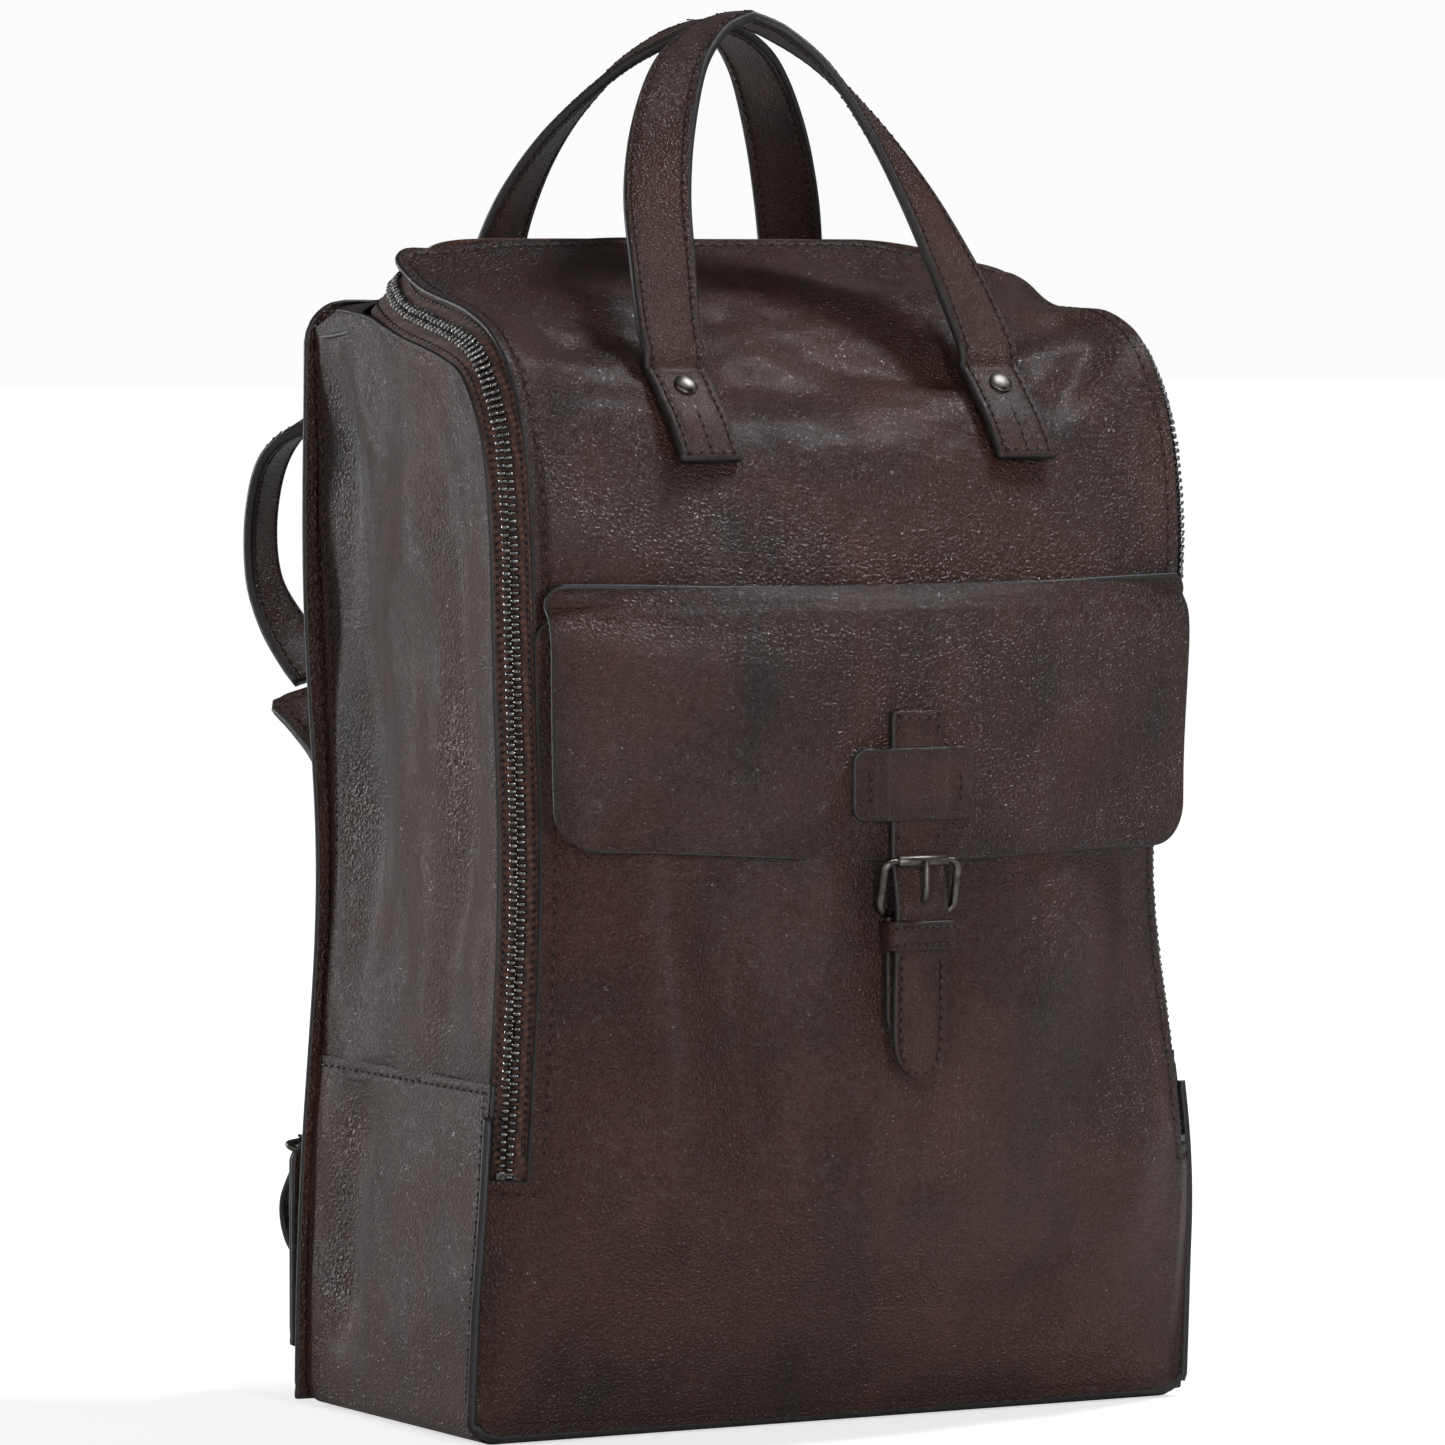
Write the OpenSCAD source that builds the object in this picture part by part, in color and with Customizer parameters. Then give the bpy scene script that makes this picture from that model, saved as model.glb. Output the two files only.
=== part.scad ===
// Leather backpack with a U-shaped zip, a buckled front pocket, two carry handles
// and two padded shoulder straps. Millimetres, +Z up, front towards -Y.
// The origin is the middle of the base, on the surface that the bag stands on.

/* [Body] */
// Width of the base, seam to seam
base_w = 300; // [285:1:315]
// Depth of the base, front seam to back panel
base_d = 134; // [128:1:142]
// How far the front stands proud of its edges at mid height
front_bulge = 24; // [18:1:28]
// How much narrower the bag is at its waist, each side
waist = 9; // [4:1:11]
// Height of the base gusset's stitched top edge
base_gusset_h = 131; // [115:1:140]

/* [Leather] */
// Thickness of the panels
panel_t = 2.2; // [1.6:0.1:2.4]
// Thickness of the textile lining
lining_t = 1; // [0.8:0.1:1.2]
// Thickness of a doubled strap or handle
strap_t = 3.6; // [3:0.1:4]

/* [Front pocket] */
// Depth that the pocket stands out in its middle
pocket_depth = 11.5; // [10:0.5:12]
// Height of the pocket's open top edge
pocket_top = 298; // [292:1:300]
// Width of the flap
flap_w = 268; // [250:1:270]
// Height of the flap
flap_h = 97; // [85:1:100]
// Height at which the flap is sewn on
flap_top = 309; // [308:1:312]

/* [Flap strap and buckle] */
// Width of the strap
billet_w = 22; // [20:1:24]
// Thickness of the strap
billet_t = 2.4; // [2:0.1:2.6]
// Width of the cross tab that holds the strap to the flap
cross_tab_w = 50; // [44:1:54]
// Wire diameter of the buckle frame
buckle_wire = 3; // [2.6:0.1:3.2]
// Outside width of the buckle
buckle_w = 34; // [32:1:36]
// Height of the buckle
buckle_h = 22; // [20:1:23]

/* [Carry handles] */
// Width of the handles
handle_w = 25; // [22:1:25]
// Distance between the two ends of a handle
handle_span = 133; // [128:1:138]
// Height of the handles' highest point
handle_top = 519; // [510:1:522]
// Diameter of a rivet's cap
rivet_d = 9; // [8:0.5:10]

/* [Zip] */
// Width of the zip's metal chain
chain_w = 7; // [6:0.2:7.4]
// Length of a zip slider
slider_l = 13; // [12:0.5:14]

/* [Shoulder straps] */
// Width of the narrow straps
strap_w = 25; // [22:1:26]
// Width of the shoulder pads
pad_w = 55; // [48:1:58]
// Thickness of the shoulder pads
pad_t = 9; // [7:0.5:10]

/* [Hidden] */

leather = "#4a3129";
leather_dark = "#3a2721";
textile = "#6b5a48";
pewter = "#8c8579";
gunmetal = "#6e675d";
foam = "#55504a";

gap = 0.4;            // between layers of different pieces
zip_foot = 97;        // height of the zip's lower ends
lid_split = 9;        // half of the gap that the lid's fold needs
chamfer = 10;         // how far in from the side the zip slot reaches
panel_share = 0.93;   // |u| at the front panel's edge; from there to 1 is the zip slot
half_d = base_d / 2;
flap_reach = flap_w / 2;
handle_x = handle_span / 2;

// ---------------------------------------------------------------- small maths
function lerp(a, b, t) = a + (b - a) * t;
function limit(t) = min(1, max(0, t));
function unit(v) = v / norm(v);
function smooth(t) = let(c = limit(t)) c * c * (3 - 2 * c);
function pick(list, i) = list[min(len(list) - 1, max(0, i))];
// A smooth curve through the points of a list; t counts points from 0
function along(list, t) = let(
    k = min(len(list) - 2, max(0, floor(t))),
    f = t - k,
    a = pick(list, k - 1), b = list[k], c = list[k + 1], d = pick(list, k + 2))
    0.5 * (2 * b + (c - a) * f + (2 * a - 5 * b + 4 * c - d) * f * f
        + (3 * b - a - 3 * c + d) * f * f * f);
function steps(a, b, n) = [for (i = [0:n]) lerp(a, b, i / n)];
function flipped(list) = [for (i = [len(list) - 1:-1:0]) list[i]];
function to_right(list) = [for (p = list) [-p[0], p[1], p[2]]];

// ---------------------------------------------------------------- body surfaces
// Half width of the bag at a height: full at the base, narrow at the waist
function half_width(z) = base_w / 2 - waist * exp(-pow((z - 205) / 95, 2))
    - 4 * smooth((z - 240) / 160);

// Side profile of the front, as [y, z], from the base up, over the shoulder and back
// to the rear zip: at the gusset's seam, at the front panel's edge and at the middle.
seam_line = [[1 - half_d, 3], [-69, 45], [-73, 97], [-71, 200], [-75, 300], [-74, 336],
    [-68, 362], [-54, 383], [-36, 391], [0, 399], [30, 408]];
edge_line = [[-1 - half_d, 3], [-78, 45], [-86, 97], [-84, 200], [-88, 300], [-86, 342],
    [-79, 372], [-63, 396], [-40, 408], [0, 417], [26, 431]];
middle_line = [[-1 - half_d, 3], [-68 - front_bulge, 45], [-82 - front_bulge, 97],
    [-85 - front_bulge, 200], [-83 - front_bulge, 300], [-78 - front_bulge, 336],
    [-87, 360], [-66, 382], [-41, 398], [0, 420], [28, 435]];

// Point of the front: u runs -1..1 across, v counts the profile's points
function front(u, v) = let(
    s = abs(u),
    p = along(edge_line, v),
    w = half_width(p[1]),
    across = s / panel_share,
    out = (s - panel_share) / (1 - panel_share),
    yz = s <= panel_share ? lerp(p, along(middle_line, v), 1 - pow(across, 2.2))
        : lerp(p, along(seam_line, v), out),
    x = s <= panel_share ? (w - chamfer) * across : w - chamfer + chamfer * out)
    [sign(u) * x, yz[0], yz[1]];
function front_normal(u, v) = let(h = 0.004, k = 0.02)
    unit(cross(front(u + h, v) - front(u - h, v), front(u, v + k) - front(u, v - k)));
function on_front(u, v, out) = front(u, v) + front_normal(u, v) * out;
// u of a distance from the middle, at v
function across_at(x, v) = x * panel_share / (half_width(along(edge_line, v)[1]) - chamfer);

outer_lift = 0.3;     // the outer leather's clearance over the front panel
// How far the outer leather stands off the front: nothing at the base, full at the pocket
function pocket_out(u, v) = pocket_depth * (1 - pow(limit(abs(u) / panel_share), 4))
    * (v < 3 ? smooth(v / 3) : 1 - 0.12 * (v - 3) - 0.22 * max(0, v - 3.3));

// ---------------------------------------------------------------- solids from grids
// A sheet between two grids of points; rows run up and columns run right on the outside
module sheet(outer, inner) {
    rows = len(outer);
    cols = len(outer[0]);
    n = rows * cols;
    function at(i, j) = i * cols + j;
    points = concat([for (r = outer) each r], [for (r = inner) each r]);
    faces = concat(
        [for (i = [0:rows - 2], j = [0:cols - 2])
            each [[at(i, j), at(i + 1, j), at(i + 1, j + 1)],
                [at(i, j), at(i + 1, j + 1), at(i, j + 1)]]],
        [for (i = [0:rows - 2], j = [0:cols - 2])
            each [[n + at(i, j), n + at(i + 1, j + 1), n + at(i + 1, j)],
                [n + at(i, j), n + at(i, j + 1), n + at(i + 1, j + 1)]]],
        [for (j = [0:cols - 2])
            each [[at(0, j), at(0, j + 1), n + at(0, j + 1)],
                [at(0, j), n + at(0, j + 1), n + at(0, j)]]],
        [for (j = [0:cols - 2]) let(i = rows - 1)
            each [[at(i, j + 1), at(i, j), n + at(i, j)],
                [at(i, j + 1), n + at(i, j), n + at(i, j + 1)]]],
        [for (i = [0:rows - 2])
            each [[at(i + 1, 0), at(i, 0), n + at(i, 0)],
                [at(i + 1, 0), n + at(i, 0), n + at(i + 1, 0)]]],
        [for (i = [0:rows - 2]) let(j = cols - 1)
            each [[at(i, j), at(i + 1, j), n + at(i + 1, j)],
                [at(i, j), n + at(i + 1, j), n + at(i, j)]]]);
    polyhedron(points, faces, convexity = 6);
}

// A flat strap along a route; sides are its width directions, turned with the strap
module strap(route, sides, widths, thick) {
    n = len(route) - 1;
    function heading(i) = unit(route[min(n, i + 1)] - route[max(0, i - 1)]);
    function face(i) = unit(cross(sides[i], heading(i)));
    function side(i) = unit(cross(heading(i), face(i)));
    sheet([for (i = [0:n]) [for (k = [-0.5, 0.5]) route[i] + side(i) * widths[i] * k + face(i) * thick / 2]],
        [for (i = [0:n]) [for (k = [-0.5, 0.5]) route[i] + side(i) * widths[i] * k - face(i) * thick / 2]]);
}

// A patch of the front, between two heights off it
module patch(us, vs, inner, outer)
    sheet([for (v = vs) [for (u = us) on_front(u, v, outer)]],
        [for (v = vs) [for (u = us) on_front(u, v, inner)]]);

// ---------------------------------------------------------------- back and sides
function back_outline(grow, low, high, corner) = let(
    zs = steps(low, high - corner, 12),
    right = [for (z = zs) [half_width(z) + grow, z]],
    r = half_width(high) + grow - corner,
    bend = [for (a = [15:15:75]) [r + corner * cos(a), high - corner + corner * sin(a)]],
    half = concat(right, bend, [[r, high]]))
    concat(half, [for (p = flipped(half)) [-p[0], p[1]]]);

module back_slab(y, thick, grow, low, high, corner)
    translate([0, y + thick, 0]) rotate([90, 0, 0]) linear_extrude(thick)
        polygon(back_outline(grow, low, high, corner));

module back_panel() color(leather) back_slab(half_d, panel_t, 3, 2.6, 411, 16);
module back_padding() color(foam) back_slab(half_d - 7, 6, -14, 14, 396, 12);

// The upper side panel is ruled between the front seam and the back seam
panel_low = base_gusset_h + gap;
seam_start = 2 + (panel_low - zip_foot) / 103;
seam_run = concat([[along(seam_line, seam_start)[0], panel_low]],
    [for (v = steps(2.6, 9.6, 14)) along(seam_line, v)], [[30, 406.5], [48, 408]]);
back_run = [for (i = [0:len(seam_run) - 1]) let(t = i / (len(seam_run) - 1))
    [half_d - 0.6, lerp(panel_low, 400, 1 - pow(1 - t, 1.25))]];
function side_point(i, t, inward) = let(
    yz = lerp(back_run[i], seam_run[i], t),
    crease = 7 * exp(-pow((t - 0.25) / 0.16, 2)) * smooth((400 - yz[1]) / 50))
    [half_width(yz[1]) - inward - crease, yz[0], yz[1]];
module side_panel(side) {
    ts = flipped(steps(0.02, 0.995, 8));
    last = len(seam_run) - 1;
    mirror([side < 0 ? 1 : 0, 0, 0])
        sheet([for (i = [0:last]) [for (t = ts) side_point(i, t, 0)]],
            [for (i = [0:last]) [for (t = ts) side_point(i, t, panel_t)]]);
}
module side_panel_left() color(leather) side_panel(-1);
module side_panel_right() color(leather) side_panel(1);

module top_rear_strip() color(leather)
    rotate([90, 0, 90]) translate([0, 0, -half_width(410) + 6])
        linear_extrude(2 * half_width(410) - 12)
            polygon([[39, 412.5], [52, 411], [half_d - 0.5, 410.5], [half_d - 0.5, 408.3], [52, 408.8],
                [38, 410.2]]);

// ---------------------------------------------------------------- base
// The base gusset runs down one side, under the bag and up the other
base_r = 9;
gusset_rise = [for (z = steps(base_gusset_h, base_r, 8)) [-half_width(z) - gap, z]];
gusset_bend = [for (a = [15:15:75])
    [-half_width(base_r) - gap + base_r * (1 - cos(a)), base_r * (1 - sin(a))]];
gusset_half = concat(gusset_rise, gusset_bend, [[base_r - half_width(base_r), 0], [-70, 0]]);
gusset_run = concat(gusset_half, [[0, 0]], [for (p = flipped(gusset_half)) [-p[0], p[1]]]);
function inward(i) = let(
    a = gusset_run[max(0, i - 1)], b = gusset_run[min(len(gusset_run) - 1, i + 1)],
    d = (b - a) / norm(b - a)) [-d[1], d[0]];
function gusset_point(i, t, deep) = let(
    p = gusset_run[i] + inward(i) * deep,
    z = gusset_run[i][1],
    v = z < 45 ? (z - 3) / 42 : z < 97 ? 1 + (z - 45) / 52 : 2 + (z - 97) / 103,
    front_y = along(seam_line, max(0, v))[0])
    [p[0], lerp(front_y - 1, half_d - gap, t), p[1]];
module base_gusset() color(leather_dark)
    sheet([for (i = [0:len(gusset_run) - 1]) [for (t = [0, 0.5, 1]) gusset_point(i, t, 0)]],
        [for (i = [0:len(gusset_run) - 1]) [for (t = [0, 0.5, 1]) gusset_point(i, t, 2)]]);
module base_board() color(foam) translate([-136, -half_d + 8, 2.6]) cube([272, base_d - 18, 3]);

module front_panel_lower() color(leather) {
    us = steps(-0.985, 0.985, 18);
    vs = steps(0.02, 2 - lid_split / 52, 6);
    sheet([for (v = vs) [for (u = us) on_front(u, v, pocket_out(u, v) + outer_lift + panel_t)]],
        [for (v = vs) [for (u = us) on_front(u, v, pocket_out(u, v) + outer_lift)]]);
}

// ---------------------------------------------------------------- inside
module main_lining() color(textile) {
    inset = 13;
    wall = lining_t;
    difference() {
        back_slab(-45, half_d + 36.5, -inset, 6.4, 384, 14);
        back_slab(-46, half_d + 36.5, -inset - wall, 6.4 + wall, 384 - wall, 14);
    }
}
module laptop_sleeve() color(textile)
    difference() {
        translate([-112, 36, 10]) cube([224, 19.5, 240]);
        translate([-110.5, 38, 12]) cube([221, 15.5, 240]);
    }

// ---------------------------------------------------------------- zip
// The two edges of the zip slot, from its left foot up, over the side and to the rear middle
slot_vs = concat([2 + lid_split / 103], [2.5, 3, 3.5, 4, 4.5, 5, 5.5, 6, 6.5, 7, 7.5, 8, 8.5, 9]);
panel_side = concat([for (v = slot_vs) front(-panel_share, v)],
    [[-131, 14, 423], [-121, 25, 431], [-106, 28.5, 434.5], [-70, 28.5, 435], [-35, 28.5, 435],
    [0, 28.5, 435]]);
seam_side = concat([for (v = slot_vs) front(-1, v)],
    [[-144, 20, 405], [-139, 33, 409], [-122, 38.5, 413.5], [-76, 38.5, 413.5], [-37, 38.5, 413.5],
        [0, 38.5, 413.5]]);
slot_n = len(slot_vs) + 5;
function slot_half(t, q) = lerp(along(panel_side, t), along(seam_side, t), 0.5 + q / 2);
// t runs from 0 at the left foot through slot_n at the rear middle to 2 * slot_n
function slot(t, q) = t <= slot_n ? slot_half(t, q)
    : let(p = slot_half(2 * slot_n - t, q)) [-p[0], p[1], p[2]];
function slot_normal(t) = let(
    a = max(0.01, min(2 * slot_n - 0.01, t)),
    run = slot(a + 0.01, 0) - slot(a - 0.01, 0),
    wide = slot(a, -1) - slot(a, 1))
    unit(cross(wide, run));
slot_ts = steps(0, 2 * slot_n, 60);
slot_width = norm(slot(5, 1) - slot(5, -1));
// The chain halves stand apart under the sliders, where each slider's post goes through
function parting(t) = abs(t - slot_n) < 1.4 ? 0.2 : 0.03;
module zip_band(side, near, far, low, high) {
    a = side < 0 ? far : near;
    b = side < 0 ? near : far;
    function q(t, k) = side * max(abs(k), parting(t));
    sheet([for (t = slot_ts) [for (k = [b, a]) slot(t, q(t, k)) + slot_normal(t) * high]],
        [for (t = slot_ts) [for (k = [b, a]) slot(t, q(t, k)) + slot_normal(t) * low]]);
}
half_chain = chain_w / slot_width;
tape_reach = 0.62;    // share of the slot that each tape covers, clear of the leather
module zip_tape_front() color(leather_dark) zip_band(-1, 0, tape_reach, -1.6, -0.7);
module zip_tape_rear() color(leather_dark) zip_band(1, 0, tape_reach, -1.6, -0.7);
module zip_teeth_front() color(gunmetal) zip_band(-1, 0, half_chain, -0.6, 1.2);
module zip_teeth_rear() color(gunmetal) zip_band(1, 0, half_chain, -0.6, 1.2);
module zip_end_stops() color(pewter)
    for (side = [-1, 1]) let(p = slot(0, 0))
        translate([side * abs(p[0]), p[1], p[2] - 6]) rotate([0, 0, side * 38])
            cube([7, 2, 2.4], center = true);

// Frame at the rear of the bag: x along the zip, y across it, z out of it
rear_mid = slot(slot_n, 0);
rear_tilt = atan2(21.5, 10);
module at_rear(x) translate([x, rear_mid[1], rear_mid[2]]) rotate([-rear_tilt, 0, 0]) children();
module zip_slider(side) color(pewter) at_rear(side * (slider_l / 2 + 1)) {
    post_w = 2;
    difference() {
        union() {
            translate([-slider_l / 2, -5, 1.7]) cube([slider_l, 10, 1.4]);
            translate([-slider_l / 2, -5, -3.1]) cube([slider_l, 10, 1.1]);
            translate([side * (slider_l / 2 - 4), 0, -3.1]) cylinder(h = 5, d = post_w, $fn = 24);
            for (k = [-1, 1]) translate([side * 2 + k * 3.2, 0, 3.9]) cube([1.6, 4, 3.2], center = true);
        }
        translate([side * 2, 0, 4.2]) rotate([0, 90, 0]) cylinder(h = 12, d = 1.5, center = true, $fn = 24);
    }
}
module zip_slider_left() zip_slider(-1);
module zip_slider_right() zip_slider(1);
// The pull turns on a pin through the slider's two ears, and lies back over the strip
pull_l = 26;
pull_lean = 25;
module zip_pull(side) {
    pin = [side * (slider_l / 2 + 3),
        rear_mid[1] + 4.2 * sin(rear_tilt),
        rear_mid[2] + 4.2 * cos(rear_tilt)];
    color(pewter) translate(pin) rotate([-pull_lean, 0, 0]) {
        rotate([0, 90, 0]) cylinder(h = 8.6, d = 1.4, center = true, $fn = 24);
        difference() {
            translate([-2.1, -0.7, -0.7]) cube([4.2, pull_l, 1.4]);
            translate([0, pull_l - 4, -2]) cylinder(h = 4, d = 2.2, $fn = 24);
        }
    }
}
module zip_pull_left() zip_pull(-1);
module zip_pull_right() zip_pull(1);

// ---------------------------------------------------------------- lid
lid_start = 2 + lid_split / 103;
module front_panel() color(leather) patch(steps(-panel_share + 0.004, panel_share - 0.004, 18),
    concat(steps(lid_start, 4, 5), steps(4.33, 10, 17)), -panel_t, 0);
lining_gap = 3;
module lid_lining() color(textile) patch(steps(-0.88, 0.88, 10), steps(lid_start + 0.1, 9.5, 18),
    -panel_t - lining_gap - lining_t, -panel_t - lining_gap);
module pocket_panel() color(leather) {
    us = steps(-panel_share + 0.004, panel_share - 0.004, 18);
    vs = steps(lid_start, 3 + (pocket_top - 200) / 100, 6);
    sheet([for (v = vs) [for (u = us) on_front(u, v, pocket_out(u, v) + outer_lift + panel_t)]],
        [for (v = vs) [for (u = us) on_front(u, v, pocket_out(u, v) + outer_lift)]]);
}

// ---------------------------------------------------------------- handles
tab_low = 5.58;
tab_high = 7.1;
tab_lift = 0.3;
module front_handle_tabs() color(leather)
    for (side = [-1, 1]) {
        reach = handle_w / 2;
        vs = steps(tab_low, tab_high, 5);
        us = [for (x = [-reach, 0, reach]) side * handle_x + x];
        sheet([for (v = vs) [for (x = us) on_front(across_at(x, v), v, tab_lift + strap_t)]],
            [for (v = vs) [for (x = us) on_front(across_at(x, v), v, tab_lift)]]);
    }
rivet_v = 6.93;
module front_handle_rivets() color(pewter)
    for (side = [-1, 1]) {
        u = across_at(side * handle_x, rivet_v);
        p = on_front(u, rivet_v, tab_lift + strap_t + 0.02);
        n = front_normal(u, rivet_v);
        translate(p) rotate([acos(n[2]), 0, atan2(n[0], -n[1])]) cylinder(h = 1.8, d = rivet_d, $fn = 32);
    }
module rear_handle_tabs() color(leather)
    for (side = [-1, 1])
        translate([side * handle_x - handle_w / 2, half_d + panel_t + tab_lift, 350])
            cube([handle_w, strap_t, 36]);
module rear_handle_rivets() color(pewter)
    for (side = [-1, 1])
        translate([side * handle_x, half_d + panel_t + tab_lift + strap_t + 0.02, 378])
            rotate([-90, 0, 0]) cylinder(h = 1.8, d = rivet_d, $fn = 32);

// A handle's left half, bottom to top; the other half is its mirror image
handle_gap = 0.7;
front_leg = [[-handle_x, -65.5, 393], [-handle_x + 1, -60, 403], [-61, -48, 425], [-55, -33, 450],
    [-45, -19, 475], [-31, -6, 498], [-15, 2.5, handle_top - 7.5], [0, 5, handle_top - 1.8]];
rear_leg = [[-handle_x, half_d + panel_t + tab_lift + strap_t / 2, 388.5], [-handle_x + 0.5, 74, 402],
    [-64, 77, 425], [-58, 71, 450], [-47, 60, 475], [-31, 45, 497],
    [-15, 33.5, handle_top - 9.5], [0, 30 + handle_gap, handle_top - 4]];
turn_at = [0, 4, 14, 28, 46, 66, 82, 90];
module handle(leg, facing) {
    n = len(leg) - 1;
    ts = steps(0, n, 14);
    half = [for (t = ts) along(leg, t)];
    turn = [for (t = ts) along(turn_at, t)];
    route = concat(half, to_right([for (i = [len(half) - 2:-1:0]) half[i]]));
    angle = concat(turn, [for (i = [len(turn) - 2:-1:0]) 180 - turn[i]]);
    sides = [for (a = angle) [facing * cos(a), -sin(a), 0]];
    strap(route, sides, [for (a = angle) handle_w], strap_t);
}
module front_handle() color(leather) handle(front_leg, 1);
module rear_handle() color(leather) handle(rear_leg, -1);

// ---------------------------------------------------------------- flap and buckle
// The flap hangs from flap_top in an arc that stands clear of the pocket
flap_drop = [[-112, 0], [-119, 6], [-124, 15], [-125.6, 40], [-126, 70], [-126, flap_h]];
flap_sweep = 24;
function flap_point(u, t, out) = let(
    p = along(flap_drop, t))
    [u * flap_reach, p[0] + flap_sweep * u * u * (t < 1 ? lerp(0.62, 1, t) : 1) - out, flap_top - p[1]];
module pocket_flap() color(leather_dark) {
    us = steps(-1, 1, 16);
    ts = steps(0, 5, 10);
    sheet([for (t = flipped(ts)) [for (u = us) flap_point(u, t, 0)]],
        [for (t = flipped(ts)) [for (u = us) flap_point(u, t, -panel_t)]]);
}

// Route of the flap strap, as [y, z] of its middle: down the flap, behind the roller,
// over the buckle's bar and on to its tip
strap_face = -127.7;
billet_run = [[strap_face, 264], [strap_face, 240], [strap_face, 216], [strap_face - 0.2, 209],
    [-129.6, 201],
    [-131, 194], [-131, 186], [-130.2, 176], [-129.5, 160], [-129.3, 145], [-129.3, 136], [-129.3, 132]];
module flap_strap() color(leather) difference() {
    ts = steps(0, len(billet_run) - 1, 22);
    route = [for (t = flipped(ts)) let(p = along(billet_run, t)) [0, p[0], p[1]]];
    widths = [for (p = route) p[2] > 145 ? billet_w : billet_w * sqrt(1 - pow((145 - p[2]) / 14, 2)) + 1];
    strap(route, [for (p = route) [1, 0, 0]], widths, billet_t);
    translate([0, -130, 197.4]) cube([3.4, 12, 16.6], center = true);
}
// The cross tab bows over the strap and is sewn to the flap on both sides of it
module flap_cross_tab() color(leather) {
    tab_h = 25;
    edge = cross_tab_w / 2;
    near = -125.6;
    far = strap_face - billet_t / 2 - gap;
    outer = [[-edge, near - 2], [-17, near - 2.2], [-12.5, far - 2], [12.5, far - 2],
        [17, near - 2.2], [edge, near - 2]];
    inner = [[edge, near], [17.5, near - 0.2 - 1], [12, far], [-12, far], [-17.5, near - 0.2 - 1],
        [-edge, near]];
    translate([0, 0, 225]) linear_extrude(tab_h) polygon(concat(outer, inner));
}

// The buckle: side wires, a roller bar over the strap and a hinge bar behind it
roller_y = strap_face - billet_t / 2 - 2.6;
roller_z = 210;
bar_y = -126.9;
bar_z = roller_z - buckle_h + buckle_wire;
bar_r = buckle_wire / 2;
pin_r = 0.9;
module wire(a, b, r) hull() {
    translate(a) sphere(r = r, $fn = 16);
    translate(b) sphere(r = r, $fn = 16);
}
module buckle_frame() color(pewter) {
    x = buckle_w / 2 - bar_r;
    for (side = [-1, 1]) wire([side * x, roller_y, roller_z], [side * x, bar_y, bar_z], bar_r);
    translate([0, roller_y, roller_z]) rotate([0, 90, 0])
        cylinder(h = 2 * x, r = pin_r, center = true, $fn = 32);
    translate([0, bar_y, bar_z]) rotate([0, 90, 0]) cylinder(h = 2 * x, r = 1.1, center = true, $fn = 32);
}
module buckle_roller() color(pewter) translate([0, roller_y, roller_z]) rotate([0, 90, 0]) difference() {
    cylinder(h = 21, r = 2, center = true, $fn = 32);
    cylinder(h = 22, r = pin_r + 0.06, center = true, $fn = 32);
}
// The prong turns on the hinge bar, goes through the strap's hole and lies on the roller
module buckle_prong() color(pewter) difference() {
    tip_y = roller_y - 2 - 1.1;
    union() {
        translate([0, bar_y, bar_z]) rotate([0, 90, 0]) cylinder(h = 2.6, r = 2, center = true, $fn = 32);
        wire([0, bar_y - 1.6, bar_z + 1], [0, -133.6, bar_z + 6.5], 0.9);
        wire([0, -133.6, bar_z + 6.5], [0, tip_y - 0.1, roller_z], 0.9);
    }
    translate([0, bar_y, bar_z]) rotate([0, 90, 0]) cylinder(h = 8, r = 1.16, center = true, $fn = 32);
}
module buckle_chape() color(leather) difference() {
    low = 146;
    translate([-billet_w / 2 - 0.8, -127.6, low]) cube([billet_w + 1.6, 1.5, bar_z - low - 1.6]);
    translate([0, bar_y, bar_z]) cube([4, 12, 9], center = true);
}
module flap_keeper() color(leather) translate([0, 0, 177.5]) linear_extrude(11) difference() {
    outer_w = billet_w + 6.4;
    translate([-outer_w / 2, -134.2]) square([outer_w, 9.4]);
    translate([-outer_w / 2 + 1.6, -132.8]) square([outer_w - 3.2, 7]);
}
// Hidden press stud: its cap is under the strap and its socket is on the pocket
snap_z = 156;
module snap_stud() color(pewter) translate([0, -126, snap_z]) rotate([-90, 0, 0])
    cylinder(h = 0.8, d = 12, $fn = 32);
module snap_socket() color(pewter) translate([0, -124.7, snap_z]) rotate([-90, 0, 0])
    cylinder(h = 2.2, d = 12, $fn = 32);

// ---------------------------------------------------------------- shoulder straps
back_face = half_d + panel_t;
module strap_yoke() color(leather)
    translate([0, back_face + 2.6, 0]) rotate([90, 0, 0]) linear_extrude(2.2)
        polygon([[-52, 332], [52, 332], [52, 374], [-52, 374]]);
// Left strap: the narrow strap leaves the yoke, swings out and comes back to the pad
upper_run = [[-38, 74.4, 348], [-51, 75.6, 350], [-66, 82, 356], [-82, 94, 364], [-97, 111, 368],
    [-110, 134, 367], [-120, 150, 354], [-123, 158, 332], [-123, 157, 307], [-119, 149, 289],
        [-114, 139, 276], [-111, 132.5, 269.5]];
upper_side = [[0, 0, 1], [0, 0, 1], [0, 0, 1], [0.1, 0.1, 1], [0.4, 0.3, 0.8], [0.7, 0.5, 0.4],
    [0.76, 0.62, 0.1],
    [0.76, 0.65, 0], [0.8, 0.6, 0], [0.9, 0.4, 0.1], [0.93, 0.25, 0.25], [0.93, 0.19, 0.31]];
module strap_along(run, side_list, width, thick, n, side) {
    ts = steps(0, len(run) - 1, n);
    mirror([side < 0 ? 0 : 1, 0, 0])
        strap([for (t = ts) along(run, t)], [for (t = ts) along(side_list, t)],
            [for (t = ts) width], thick);
}
module upper_strap_left() color(leather) strap_along(upper_run, upper_side, strap_w, strap_t, 24, -1);
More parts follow.
